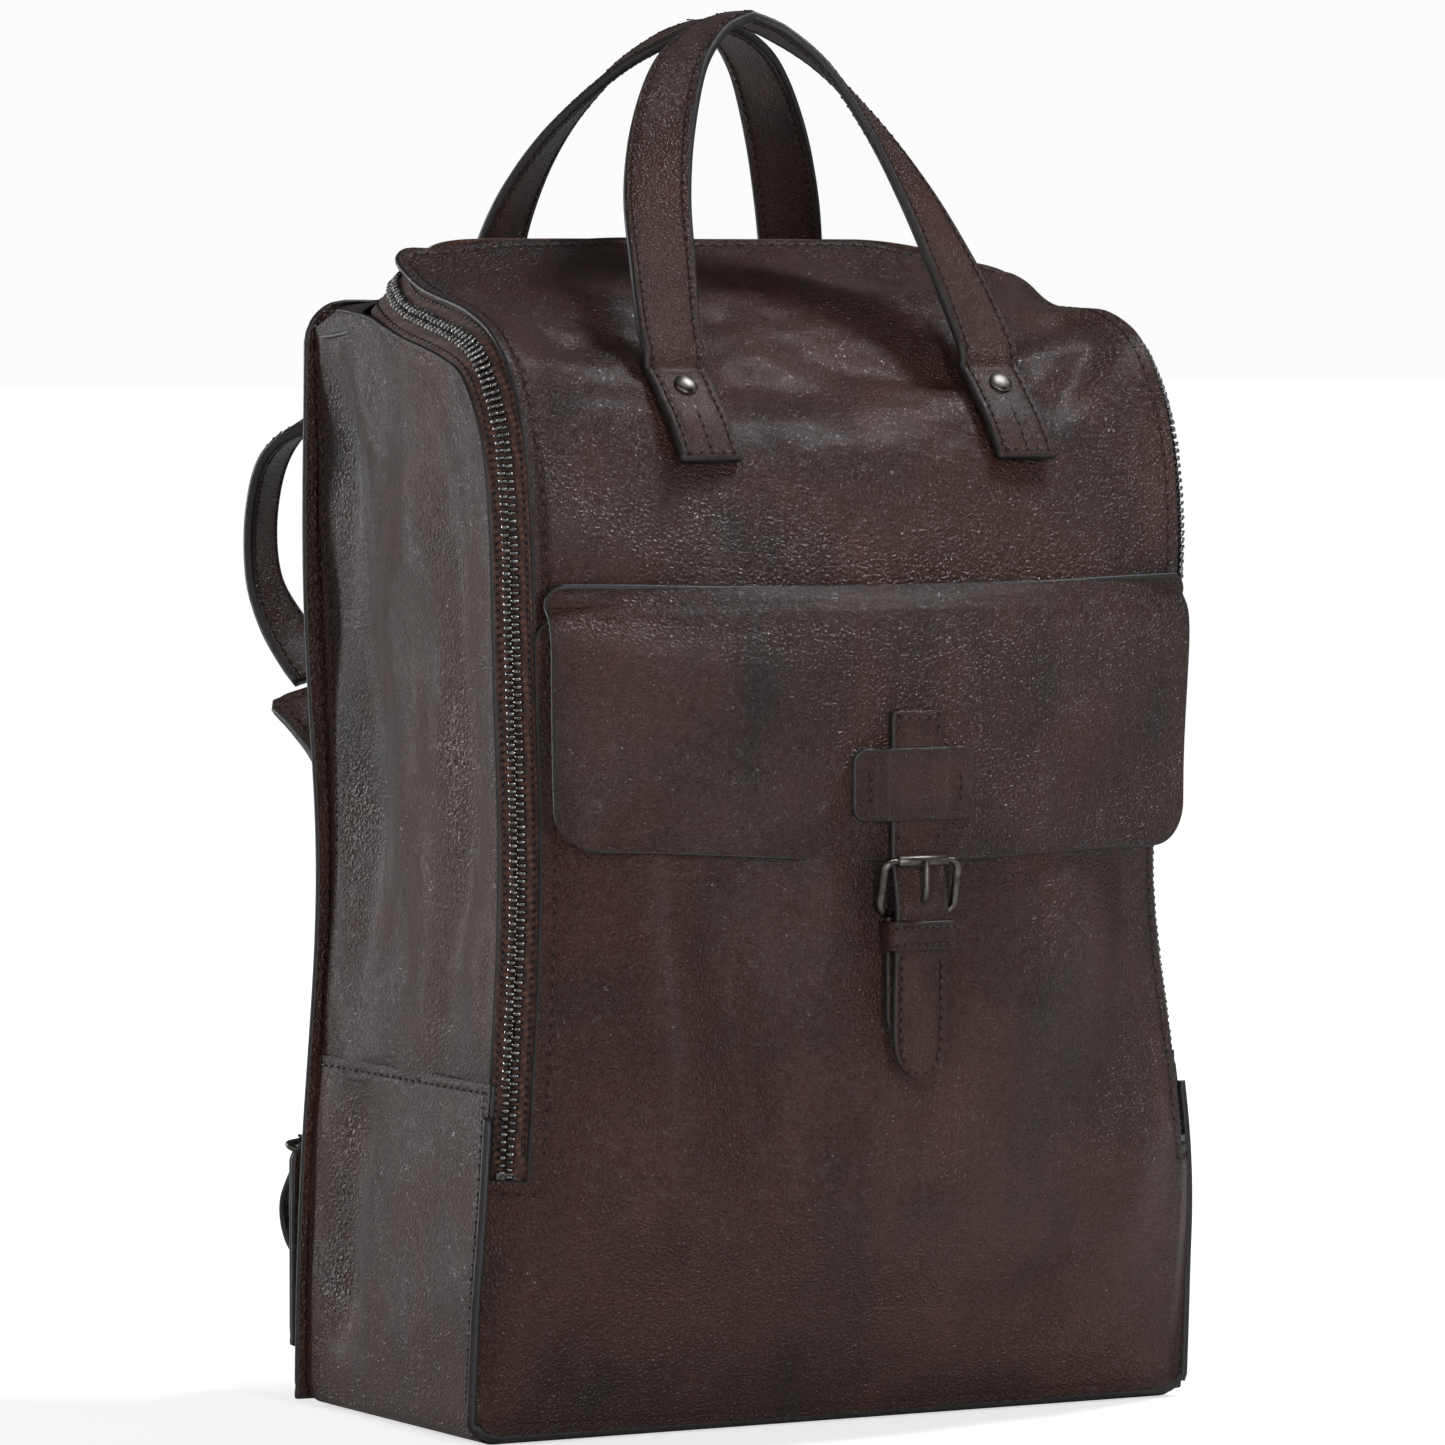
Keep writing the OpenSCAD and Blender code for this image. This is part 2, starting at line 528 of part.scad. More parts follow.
module upper_strap_right() color(leather) strap_along(upper_run, upper_side, strap_w, strap_t, 24, 1);
// The pad's upper end stands out from the bag and the rest lies along the back
pad_run = [[-112, 131, 266], [-108, 114, 255], [-104, 97, 239], [-102, 85, 215], [-102, 79, 180],
    [-104, 78, 140]];
pad_side = [[0.93, 0.19, 0.31], [0.97, 0.1, 0.2], [1, 0, 0.08], [1, 0, 0], [1, 0, 0], [1, 0, 0]];
module shoulder_pad(side) color(leather) strap_along(pad_run, pad_side, pad_w, pad_t, 16, side);
module shoulder_pad_left() shoulder_pad(-1);
module shoulder_pad_right() shoulder_pad(1);

// Buckle frame of a shoulder strap: x along its bars, the bag's side at -y
bar_turn = 40;
buckle_tilt = 24;
buckle_at = [-129, 100, 91];
ring_w = 24;
ring_reach = 8;
ring_r = 1.3;
module at_buckle(side) mirror([side < 0 ? 0 : 1, 0, 0])
    translate(buckle_at) rotate([0, 0, bar_turn]) rotate([buckle_tilt, 0, 0]) children();
module cross_bar(y, r, l) translate([0, y, 0]) rotate([0, 90, 0])
    cylinder(h = l, r = r, center = true, $fn = 32);
module strap_buckle(side) color(pewter) at_buckle(side) {
    for (y = [-ring_reach, ring_reach]) cross_bar(y, ring_r, ring_w + 2 * ring_r);
    for (x = [-ring_w / 2, ring_w / 2]) translate([x, 0, 0]) rotate([90, 0, 0])
        cylinder(h = 2 * ring_reach, r = ring_r * 0.8, center = true, $fn = 32);
}
module strap_buckle_left() strap_buckle(-1);
module strap_buckle_right() strap_buckle(1);
module strap_prong(side) color(pewter) at_buckle(side) difference() {
    union() {
        cross_bar(-ring_reach, 2.2, 2.6);
        translate([0, 1, 2.1]) rotate([90, 0, 0])
            cylinder(h = 2 * ring_reach, r = 0.7, center = true, $fn = 24);
        translate([-0.6, -ring_reach, 0.6]) cube([1.2, 1.8, 2]);
    }
    cross_bar(-ring_reach, ring_r + 0.06, 6);
}
module strap_prong_left() strap_prong(-1);
module strap_prong_right() strap_prong(1);

// The lower strap leaves the pad, drops through the buckle and ends in a loose tail
lower_run = [[-104, 78, 137], [-106, 80, 126], [-113, 87, 115], [-123, 95, 105], [-129, 100.5, 93],
    [-132, 109, 81],
    [-133, 114, 69], [-132, 110, 56], [-128, 101, 47]];
lower_side = [[1, 0, 0], [1, 0, 0], [0.95, 0.3, 0], [0.8, 0.6, 0], [0.77, 0.64, 0], [0.77, 0.64, 0],
    [0.77, 0.64, 0], [0.77, 0.64, 0], [0.77, 0.64, 0]];
module lower_strap(side) color(leather) difference() {
    strap_along(lower_run, lower_side, 18, 2.4, 22, side);
    at_buckle(side) translate([0, 0, 5]) cube([3.6, 14, 15], center = true);
}
module lower_strap_left() lower_strap(-1);
module lower_strap_right() lower_strap(1);

// The anchor is sewn flat to the back, and its tongue folds round the buckle's bar
module strap_anchor(side) color(leather_dark) {
    tongue_w = 16;
    mirror([side < 0 ? 0 : 1, 0, 0]) translate([-152, back_face + gap, 22]) cube([26, 2.4, 79]);
    at_buckle(side) difference() {
        union() {
            cross_bar(-ring_reach, 3, tongue_w);
            translate([-tongue_w / 2, -ring_reach - 16, -3]) cube([tongue_w, 16, 2.2]);
        }
        cross_bar(-ring_reach, ring_r + 0.3, 30);
        translate([0, -ring_reach, 1.5]) cube([4, 9, 9], center = true);
        rotate([-buckle_tilt, 0, 0]) rotate([0, 0, -bar_turn])
            translate([-40, back_face + gap + 1 - buckle_at[1] - 60, -40])
            cube([80, 60, 80]);
    }
}
module strap_anchor_left() strap_anchor(-1);
module strap_anchor_right() strap_anchor(1);

back_panel();
back_padding();
side_panel_left();
side_panel_right();
top_rear_strip();
base_gusset();
base_board();
front_panel_lower();
main_lining();
laptop_sleeve();
zip_tape_rear();
zip_teeth_rear();
zip_end_stops();
rear_handle_tabs();
rear_handle_rivets();
strap_yoke();
upper_strap_left();
upper_strap_right();
shoulder_pad_left();
shoulder_pad_right();
lower_strap_left();
lower_strap_right();
strap_anchor_left();
strap_anchor_right();
strap_buckle_left();
strap_buckle_right();
front_panel();
pocket_panel();
lid_lining();
zip_tape_front();
zip_teeth_front();
front_handle_tabs();
front_handle_rivets();
snap_socket();
pocket_flap();
flap_strap();
flap_cross_tab();
buckle_frame();
buckle_chape();
flap_keeper();
snap_stud();
buckle_roller();
buckle_prong();
front_handle();
rear_handle();
zip_slider_left();
zip_slider_right();
zip_pull_left();
zip_pull_right();
strap_prong_left();
strap_prong_right();
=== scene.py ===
import math
import bpy
import numpy as np
from mathutils import Matrix, Vector


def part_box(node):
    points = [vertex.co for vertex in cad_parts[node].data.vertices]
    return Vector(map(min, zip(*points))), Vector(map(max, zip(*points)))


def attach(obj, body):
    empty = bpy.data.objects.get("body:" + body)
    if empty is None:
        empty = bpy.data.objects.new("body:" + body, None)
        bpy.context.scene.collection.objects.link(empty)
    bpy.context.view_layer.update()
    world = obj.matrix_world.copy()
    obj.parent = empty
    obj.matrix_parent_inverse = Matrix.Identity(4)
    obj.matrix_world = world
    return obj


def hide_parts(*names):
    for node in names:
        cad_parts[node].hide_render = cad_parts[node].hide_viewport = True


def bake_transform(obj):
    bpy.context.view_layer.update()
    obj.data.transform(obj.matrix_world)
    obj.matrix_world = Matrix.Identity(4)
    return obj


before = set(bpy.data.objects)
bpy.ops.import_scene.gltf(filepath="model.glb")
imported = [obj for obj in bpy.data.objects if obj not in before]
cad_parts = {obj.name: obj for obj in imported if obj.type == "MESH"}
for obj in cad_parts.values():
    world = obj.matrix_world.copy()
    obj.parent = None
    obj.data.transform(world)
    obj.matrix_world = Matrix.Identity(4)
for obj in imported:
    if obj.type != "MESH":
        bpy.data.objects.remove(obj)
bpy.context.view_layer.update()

MM = 0.001


# ------------------------------------------------------------------ small maths
def box_mm(node):
    lo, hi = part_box(node)
    return np.array(lo) / MM, np.array(hi) / MM


def smooth(t):
    c = np.clip(t, 0, 1)
    return c * c * (3 - 2 * c)


def unit(v):
    return v / np.maximum(np.linalg.norm(v, axis=-1, keepdims=True), 1e-9)


def spline(points, t):
    """A smooth curve through the points of a list; t counts points from 0."""
    p = np.asarray(points, float)
    t = np.asarray(t, float)
    k = np.clip(np.floor(t), 0, len(p) - 2).astype(int)
    f = (t - k)[..., None]
    a, b, c, d = p[np.maximum(k - 1, 0)], p[k], p[k + 1], p[np.minimum(k + 2, len(p) - 1)]
    return 0.5 * (2 * b + (c - a) * f + (2 * a - 5 * b + 4 * c - d) * f**2
                  + (3 * b - a - 3 * c + d) * f**3)


def distance_along(path):
    """Way gone along a path at each of its points."""
    return np.r_[0, np.cumsum(np.linalg.norm(np.diff(path, axis=0), axis=1))]


def even(path, step):
    """Places that are one step apart on a path, as shares of its points, and their positions."""
    gone = distance_along(path)
    at = np.linspace(0, gone[-1], max(2, int(round(gone[-1] / step)) + 1))
    share = np.interp(at, gone, np.arange(len(path)))
    return share, np.stack([np.interp(at, gone, path[:, k]) for k in range(3)], 1)


def xyz(x, y, z):
    """Points from their x, y and z, each a number or an array."""
    return np.stack(np.broadcast_arrays(*(np.asarray(a, float) for a in (x, y, z))), -1)


def grid(across, heights, share):
    """x and z of a flat sheet's points, a row at each height, as wide as its share."""
    x = share[:, None] * across[None]
    return x, np.broadcast_to(heights[:, None], x.shape)


def mirrored(half):
    """A left half path and its mirror image as one path; the shared middle point comes once."""
    flip = np.r_[-1, np.ones(half.shape[1] - 1)]
    return np.concatenate([half, (half * flip)[-2::-1]])


def pick(values, share):
    """Values given at each point of a path, read between the points."""
    values = np.asarray(values, float)
    return np.stack([np.interp(share, np.arange(len(values)), values[:, k])
                     for k in range(values.shape[1])], 1)


def spread(lo, hi, n, fine=(0.5, 1, 1.7, 2.4, 3.1, 3.8, 4.5, 5.2, 6, 7.5), size=1.0):
    """Even steps from lo to hi, with finer ones near both ends; fine is in mm, size in mm a unit."""
    extra = np.array(fine) / size
    s = np.unique(np.r_[np.linspace(lo, hi, n), lo + extra, hi - extra])
    return s[np.r_[True, np.diff(s) > 0.15 / size]]


def corner_cut(left, radius):
    """How far a round corner cuts into each row of a sheet; left is the row's way to the end."""
    d = np.clip(radius - left, 0, radius)
    return radius - np.sqrt(np.maximum(radius**2 - d**2, 0))


# ------------------------------------------------------------------ driving sizes, mm
back_lo, back_hi = box_mm("back_panel")
HALF_D = back_lo[1]                       # front face of the back panel
LEATHER = back_hi[1] - back_lo[1]         # thickness of a panel
STRAP_T = 3.6                             # a doubled strap
RIVET_R = 4.5
rivets_lo, rivets_hi = box_mm("front_handle_rivets")
HANDLE_X = (rivets_hi[0] - rivets_lo[0]) / 2 - RIVET_R
HANDLE_W = 25
EDGE_INSET = 3.2                          # from a strap's edge to its stitches
BULGE = 24                                # of the stuffed front, at its middle
PANEL_SHARE = 0.93                        # of the front's half width, inside the zip
TRIM_U = 0.926                            # cut edge of the leather beside the zip
CHAMFER = 10                              # width of the zip's slanting strip
PANEL_W = 141                             # half width of the front inside the zip
LIFT = 0.3                                # air between layers
SEAM_PITCH = 5.0
STRAP_PITCH = 4.0
FLAP_REACH = box_mm("pocket_flap")[1][0]
FLAP_TOP = 309
STRAP_FACE = -127.7


def half_width(z):
    return 150 - 9 * np.exp(-((z - 205) / 95) ** 2) - 4 * smooth((z - 240) / 160)


def warp(p):
    """How the stuffed bag leans: the right waist is pulled in and the right rear corner slumps."""
    x, y, z = p[:, 0], p[:, 1], p[:, 2]
    pinch = 6 * smooth(x / 110) * np.exp(-((z - 205) / 72) ** 2) * (1 - 0.6 * smooth((y + 20) / 80))
    slump = (9 * smooth((x - 62) / 80) * smooth((z - 372) / 40) * smooth((y + 50) / 70)
             * smooth((100 - y) / 20))
    return np.stack([x - pinch, y, z - slump], 1)


# Side profile of the front as y, z: at the gusset's seam, at the panel's edge, at the middle
SEAM = [[1 - HALF_D, 3], [-69, 45], [-73, 97], [-71, 200], [-75, 300], [-74, 336],
        [-68, 362], [-54, 383], [-36, 391], [0, 399], [30, 408]]
EDGE = [[-1 - HALF_D, 3], [-78, 45], [-86, 97], [-84, 200], [-88, 300], [-86, 342],
        [-79, 372], [-63, 396], [-40, 408], [0, 417], [26, 431]]
MIDDLE = [[-1 - HALF_D, 3], [-68 - BULGE, 45], [-82 - BULGE, 97], [-85 - BULGE, 200],
          [-83 - BULGE, 300], [-78 - BULGE, 336], [-87, 360], [-66, 382], [-41, 398],
          [0, 420], [28, 435]]
ARC_V = np.linspace(0, 10, 201)
ARC = distance_along(spline(EDGE, ARC_V))
ARC_START = 3


def run_up(v):
    """Distance up the front's leather at v, in mm."""
    return ARC_START + np.interp(v, ARC_V, ARC)


def v_at(distance):
    return np.interp(distance - ARC_START, ARC, ARC_V)


def front_plain(u, v):
    """Point of the front without folds: u goes across, from seam to seam, and v goes up and over."""
    u, v = np.broadcast_arrays(np.asarray(u, float), np.asarray(v, float))
    s = np.abs(u)
    p = spline(EDGE, v)
    w = half_width(p[..., 1])
    across = s / PANEL_SHARE
    out = np.clip((s - PANEL_SHARE) / (1 - PANEL_SHARE), 0, None)
    inner = p + (spline(MIDDLE, v) - p) * (1 - np.minimum(across, 1) ** 2.2)[..., None]
    outer = p + (spline(SEAM, v) - p) * out[..., None]
    on = (s <= PANEL_SHARE)[..., None]
    yz = np.where(on, inner, outer)
    x = np.where(s <= PANEL_SHARE, (w - CHAMFER) * across, w - CHAMFER + CHAMFER * out)
    return np.stack([np.sign(u) * x, yz[..., 0], yz[..., 1]], -1)


def front_normal(u, v):
    h, k = 0.004, 0.02
    return unit(np.cross(front_plain(u + h, v) - front_plain(u - h, v),
                         front_plain(u, v + k) - front_plain(u, v - k)))


def u_at(x, v):
    return x * PANEL_SHARE / (half_width(spline(EDGE, v)[..., 1]) - CHAMFER)


# ------------------------------------------------------------------ folds of the leather
def hills(x, s, bumps):
    """Sum of soft hills and hollows: middle x and s, half lengths a and b, turn, height."""
    total = np.zeros(np.broadcast(x, s).shape)
    for cx, cs, a, b, turn, height in bumps:
        c, d = math.cos(math.radians(turn)), math.sin(math.radians(turn))
        p, q = (x - cx) * c + (s - cs) * d, -(x - cx) * d + (s - cs) * c
        total = total + height * np.exp(-(p / a) ** 2 - (q / b) ** 2)
    return total


def waves(x, s, seed, longest, height, count=7):
    """Slow, uneven rolling of worn leather."""
    g = np.random.default_rng(seed)
    total = np.zeros(np.broadcast(x, s).shape)
    for k in range(count):
        turn = g.uniform(0, math.pi)
        length = longest * g.uniform(0.45, 1)
        phase = g.uniform(0, 2 * math.pi)
        total = total + math.sqrt(length / longest) * np.sin(
            2 * math.pi * (x * math.cos(turn) + s * math.sin(turn)) / length + phase)
    return total * height / math.sqrt(count)


def creases(x, s, seed, count, zone, depth, width, slant=(0, 180)):
    """Short, narrow wrinkles strewn over a zone (x0, x1, s0, s1)."""
    g = np.random.default_rng(seed)
    bumps = [(g.uniform(zone[0], zone[1]), g.uniform(zone[2], zone[3]), g.uniform(10, 26),
              width * g.uniform(0.7, 1.5), g.uniform(*slant), -depth * g.uniform(0.4, 1))
             for _ in range(count)]
    return hills(x, s, bumps)


SHOULDER = [(-105, 415, 34, 9, 18, -2.6), (-62, 425, 46, 11, -24, -3.2), (-20, 402, 40, 12, 8, -3.0),
            (30, 412, 38, 9, -14, -3.4), (78, 420, 40, 8, 22, -3.6), (104, 398, 26, 8, 40, -2.6),
            (58, 452, 42, 12, -8, 2.2), (-40, 455, 50, 14, 10, 2.0), (0, 372, 30, 10, 0, 1.6),
            (-98, 352, 22, 40, 8, -2.2), (98, 345, 18, 38, -10, -1.8), (-92, 300, 16, 60, 4, 1.8),
            (40, 345, 24, 30, 30, -1.4), (118, 430, 20, 10, -30, -3.0), (-118, 380, 16, 12, 50, -1.8),
            (-82, 446, 34, 17, 4, 3.2), (52, 446, 44, 16, -4, 3.0)]
BELLY = [(-88, 150, 12, 70, 6, 2.0), (-62, 130, 10, 60, 12, -2.4), (-30, 190, 16, 60, 14, 1.6),
         (96, 120, 16, 60, -10, -2.4), (66, 180, 16, 50, -18, 1.8), (110, 190, 12, 40, 0, -2.0),
         (0, 90, 70, 22, 4, 2.2), (-96, 60, 22, 26, 0, -2.0), (80, 52, 36, 16, 12, -1.8),
         (-60, 250, 14, 40, 8, -1.6), (20, 150, 26, 36, 40, -1.4)]


def panel_fold(x, s):
    calm = 1 - smooth((np.abs(x) - 118) / 10)
    free = smooth((s - 300) / 30)
    return (hills(x, s, SHOULDER) * 1.3 * free + waves(x, s, 11, 95, 0.9)
            + creases(x, s, 5, 34, (-118, 118, 372, 468), 1.1, 3.4, (-35, 35)) * free
            + creases(x, s, 8, 10, (-110, 110, 320, 372), 0.6, 3.6, (60, 120)) * free) * (0.25 + 0.75 * calm)


def belly_fold(x, s):
    calm = (1 - smooth((np.abs(x) - 120) / 14)) * smooth((s - 8) / 30)
    return (hills(x, s, BELLY) * 1.7 + waves(x, s, 21, 120, 1.4)
            + creases(x, s, 15, 16, (-110, 110, 20, 130), 0.7, 4.5)) * calm


def on_front(u, v, out=0.0, fold=1.0):
    """Point of the front and top leather, out mm off it."""
    u, v = np.broadcast_arrays(np.asarray(u, float), np.asarray(v, float))
    p, n = front_plain(u, v), front_normal(u, v)
    lift = out + panel_fold(p[..., 0], run_up(v)) * fold
    return p + n * np.asarray(lift)[..., None]


def pocket_out(u, v):
    """How far the stuffed pocket stands out."""
    return 11.5 * (1 - np.minimum(np.abs(u) / PANEL_SHARE, 1) ** 4) * np.where(
        v < 3, smooth(v / 3), 1 - 0.12 * (v - 3) - 0.22 * np.maximum(0, v - 3.3))


def on_pocket(u, v, out=0.0):
    """Point of the outer skin, which is the front from the base up to the pocket's mouth."""
    u, v = np.broadcast_arrays(np.asarray(u, float), np.asarray(v, float))
    p, n = front_plain(u, v), front_normal(u, v)
    lift = pocket_out(u, v) + LIFT + LEATHER + out + belly_fold(p[..., 0], run_up(v))
    return p + n * lift[..., None]


# ------------------------------------------------------------------ materials
def linear(code):
    """An sRGB hex colour as linear RGBA."""
    c = [int(code[i:i + 2], 16) / 255 for i in (1, 3, 5)]
    return [x / 12.92 if x <= 0.04045 else ((x + 0.055) / 1.055) ** 2.4 for x in c] + [1]


def add(tree, kind, settings=None, **inputs):
    """Adds a node. Inputs are named after the sockets, or _0, _1 for a socket's number."""
    n = tree.nodes.new(kind)
    for k, v in (settings or {}).items():
        setattr(n, k, v)
    for k, v in inputs.items():
        s = n.inputs[int(k[1:])] if k[0] == "_" else n.inputs[k.replace("_", " ")]
        if isinstance(v, bpy.types.NodeSocket):
            tree.links.new(v, s)
        else:
            s.default_value = v
    return n


def material(name):
    m = bpy.data.materials.new(name)
    m.use_nodes = True
    m.node_tree.nodes.clear()
    t = m.node_tree
    out = add(t, "ShaderNodeOutputMaterial")
    shader = add(t, "ShaderNodeBsdfPrincipled")
    t.links.new(shader.outputs[0], out.inputs[0])
    return m, t, shader, add(t, "ShaderNodeTexCoord").outputs["Object"]


def maths(tree, operation, *values):
    inputs = {f"_{k}": v for k, v in enumerate(values)}
    return add(tree, "ShaderNodeMath", {"operation": operation}, **inputs).outputs[0]


def mapped(tree, value, start, end, low=0.0, high=1.0, **settings):
    return add(tree, "ShaderNodeMapRange", settings, Value=value, From_Min=start, From_Max=end,
               To_Min=low, To_Max=high).outputs[0]


def noise(tree, at, **inputs):
    return add(tree, "ShaderNodeTexNoise", Vector=at, **inputs).outputs[0]


def cells(tree, at, scale):
    """Distance to the edges of a net of cells."""
    return add(tree, "ShaderNodeTexVoronoi", {"feature": "DISTANCE_TO_EDGE"}, Vector=at,
               Scale=scale, Randomness=1.0).outputs["Distance"]


def ramp(tree, fac, stops):
    n = add(tree, "ShaderNodeValToRGB", Fac=fac)
    while len(n.color_ramp.elements) < len(stops):
        n.color_ramp.elements.new(0.5)
    for e, (at, colour) in zip(n.color_ramp.elements, stops):
        e.position = at
        e.color = linear(colour)
    return n.outputs["Color"]


def hide(name, dark, mid, light, grain_mm, rough, depth):
    """Vegetable-retanned cowhide, pull-up finish: waxed and semi-gloss, its tone moves in clouds,
    its grain is a pebble of cells with narrow valleys, and it is darker and drier along seams."""
    m, t, shader, at = material(name)
    cloud = noise(t, at, Scale=13.0, Detail=5.0, Roughness=0.6)
    drawn_out = add(t, "ShaderNodeMapping", Vector=at, Scale=(60, 60, 16)).outputs[0]
    streak = noise(t, drawn_out, Scale=1.0, Detail=3.0)
    seam = add(t, "ShaderNodeAttribute", {"attribute_name": "seam"}).outputs["Fac"]
    # the grain's cells are pulled out of line by a fine noise
    stir = add(t, "ShaderNodeTexNoise", Vector=at, Scale=230.0, Detail=2.0).outputs["Color"]
    shift = add(t, "ShaderNodeVectorMath", {"operation": "SCALE"}, _0=stir, Scale=0.0016).outputs[0]
    moved = add(t, "ShaderNodeVectorMath", {"operation": "ADD"}, _0=at, _1=shift).outputs[0]
    pebble = mapped(t, cells(t, moved, 1000 / grain_mm), 0.0, 0.38, interpolation_type="SMOOTHSTEP")
    small = mapped(t, cells(t, moved, 2300 / grain_mm), 0.0, 0.25, interpolation_type="SMOOTHSTEP")
    both = maths(t, "MULTIPLY_ADD", small, 0.35, pebble)
    # grain is bold in some places and rubbed smooth in others
    bold = mapped(t, cloud, 0.3, 0.66, 0.6, 1.0)
    height = maths(t, "MULTIPLY", both, bold)
    tone = maths(t, "MULTIPLY_ADD", streak, 0.35, cloud)
    colour = ramp(t, tone, [(0.45, dark), (0.66, mid), (0.95, light)])
    # Painted shade: the base colour is multiplied down to grey-brown in the grain's valleys
    shade = ramp(t, both, [(0.0, "#9A8F8A"), (0.5, "#FFFFFF")])
    valley = add(t, "ShaderNodeMix", {"data_type": "RGBA", "blend_type": "MULTIPLY"},
                 _0=0.5, _6=colour, _7=shade).outputs[2]
    edge = add(t, "ShaderNodeMix", {"data_type": "RGBA"}, _0=maths(t, "MULTIPLY", seam, 0.55),
               _6=valley, _7=linear(dark)).outputs[2]
    gloss = mapped(t, tone, 0.45, 0.95, rough + 0.03, rough - 0.03)
    dry = maths(t, "MULTIPLY_ADD", seam, 0.12, gloss)
    bump = add(t, "ShaderNodeBump", Strength=depth, Distance=0.00065, Height=height).outputs[0]
    crinkle = noise(t, at, Scale=160.0, Detail=4.0, Roughness=0.65)
    bump = add(t, "ShaderNodeBump", Strength=0.22, Distance=0.0006, Height=crinkle, Normal=bump).outputs[0]
    for socket, value in (("Base Color", edge), ("Roughness", dry), ("Normal", bump)):
        t.links.new(value, shader.inputs[socket])
    shader.inputs["IOR"].default_value = 1.5
    shader.inputs["Specular IOR Level"].default_value = 0.45
    shader.inputs["Coat Weight"].default_value = 0.06
    shader.inputs["Coat Roughness"].default_value = 0.35
    return m


def speckled(name, low, high, scale, rough, bump_mm, metallic=0.0, detail=4.0):
    """One tone moving softly into another, with a fine bump."""
    m, t, shader, at = material(name)
    n = noise(t, at, Scale=scale, Detail=detail, Roughness=0.6)
    t.links.new(ramp(t, n, [(0.35, low), (0.7, high)]), shader.inputs["Base Color"])
    t.links.new(mapped(t, n, 0.3, 0.75, *rough), shader.inputs["Roughness"])
    b = add(t, "ShaderNodeBump", Strength=0.6, Distance=bump_mm * MM, Height=n)
    t.links.new(b.outputs[0], shader.inputs["Normal"])
    shader.inputs["Metallic"].default_value = metallic
    return m


def woven(name, low, high, thread_mm, turn, rough):
    """Cloth from two sets of threads; turn sets the slant of a twill's ribs."""
    m, t, shader, at = material(name)
    p = add(t, "ShaderNodeMapping", Vector=at, Rotation=(0.3, 0.2, turn)).outputs[0]
    threads = [add(t, "ShaderNodeTexWave", {"bands_direction": way}, Vector=p, Distortion=0.3,
                   Scale=314 / thread_mm / 2 / 1.57).outputs[1] for way in "XZ"]
    h = maths(t, "MULTIPLY", *threads)
    t.links.new(ramp(t, h, [(0.1, low), (0.8, high)]), shader.inputs["Base Color"])
    bump = add(t, "ShaderNodeBump", Strength=0.5, Distance=0.0002, Height=h).outputs[0]
    t.links.new(bump, shader.inputs["Normal"])
    shader.inputs["Roughness"].default_value = rough
    shader.inputs["Sheen Weight"].default_value = 0.15
    return m


# Body hide: brown cowhide with a 1.9 mm pebble; straps are cut from a firmer, finer part
HIDE = hide("cowhide_pull_up", "#20110C", "#3C2218", "#553224", 1.9, 0.30, 1.0)
STRAP_HIDE = hide("cowhide_strap_bend", "#23120C", "#3E2317", "#523020", 1.5, 0.33, 0.8)
PAD_HIDE = hide("cowhide_pad_nappa", "#2E1C16", "#3F2920", "#50372B", 1.3, 0.44, 0.45)
# Cut edge, burnished and painted: almost black, slightly rough
EDGE_PAINT = speckled("burnished_edge_paint", "#151010", "#2A2323", 420, (0.42, 0.6), 0.25)
# Flesh side of the hide: dry and fibrous
SUEDE = speckled("hide_flesh_side", "#4E382C", "#6A4E3D", 700, (0.85, 0.95), 0.3)
# Waxed polyester thread, dark brown with a dull shine
THREAD = speckled("waxed_thread", "#2A1912", "#472D20", 2600, (0.42, 0.6), 0.05)
# Needle holes: near-black beads laid on the leather, a painted shadow inside each hole
HOLE_SHADOW = speckled("needle_hole_shadow", "#0A0706", "#120C0A", 900, (0.9, 0.95), 0.05)
# Zip tape: woven polyester, thread 0.5 mm, drawn at 0.9 mm so that it shows
TAPE = woven("zip_tape_polyester", "#38221A", "#5E3D2C", 0.9, 0.0, 0.8)
LINING = woven("lining_cotton_twill", "#54443A", "#7A6758", 1.2, 0.78, 0.9)
# Antique nickel: dark in the hollows, rubbed bright on high spots
GUNMETAL = speckled("zip_antique_nickel", "#3C3B3B", "#A29F9B", 700, (0.22, 0.38), 0.03, 1.0)
PEWTER = speckled("buckle_antique_pewter", "#45423E", "#7C7770", 260, (0.3, 0.48), 0.05, 1.0)
FOAM = speckled("foam_and_fibreboard", "#3A3733", "#5E5A54", 900, (0.85, 0.95), 0.3)
LEATHERS = [HIDE, SUEDE, EDGE_PAINT]
STRAPS = [STRAP_HIDE, STRAP_HIDE, EDGE_PAINT]
EDGE_ROUND = 0.8                          # 1 would make every cut edge a half circle


# ------------------------------------------------------------------ mesh making
def linked(name, data):
    o = bpy.data.objects.new(name, data)
    bpy.context.scene.collection.objects.link(o)
    return o


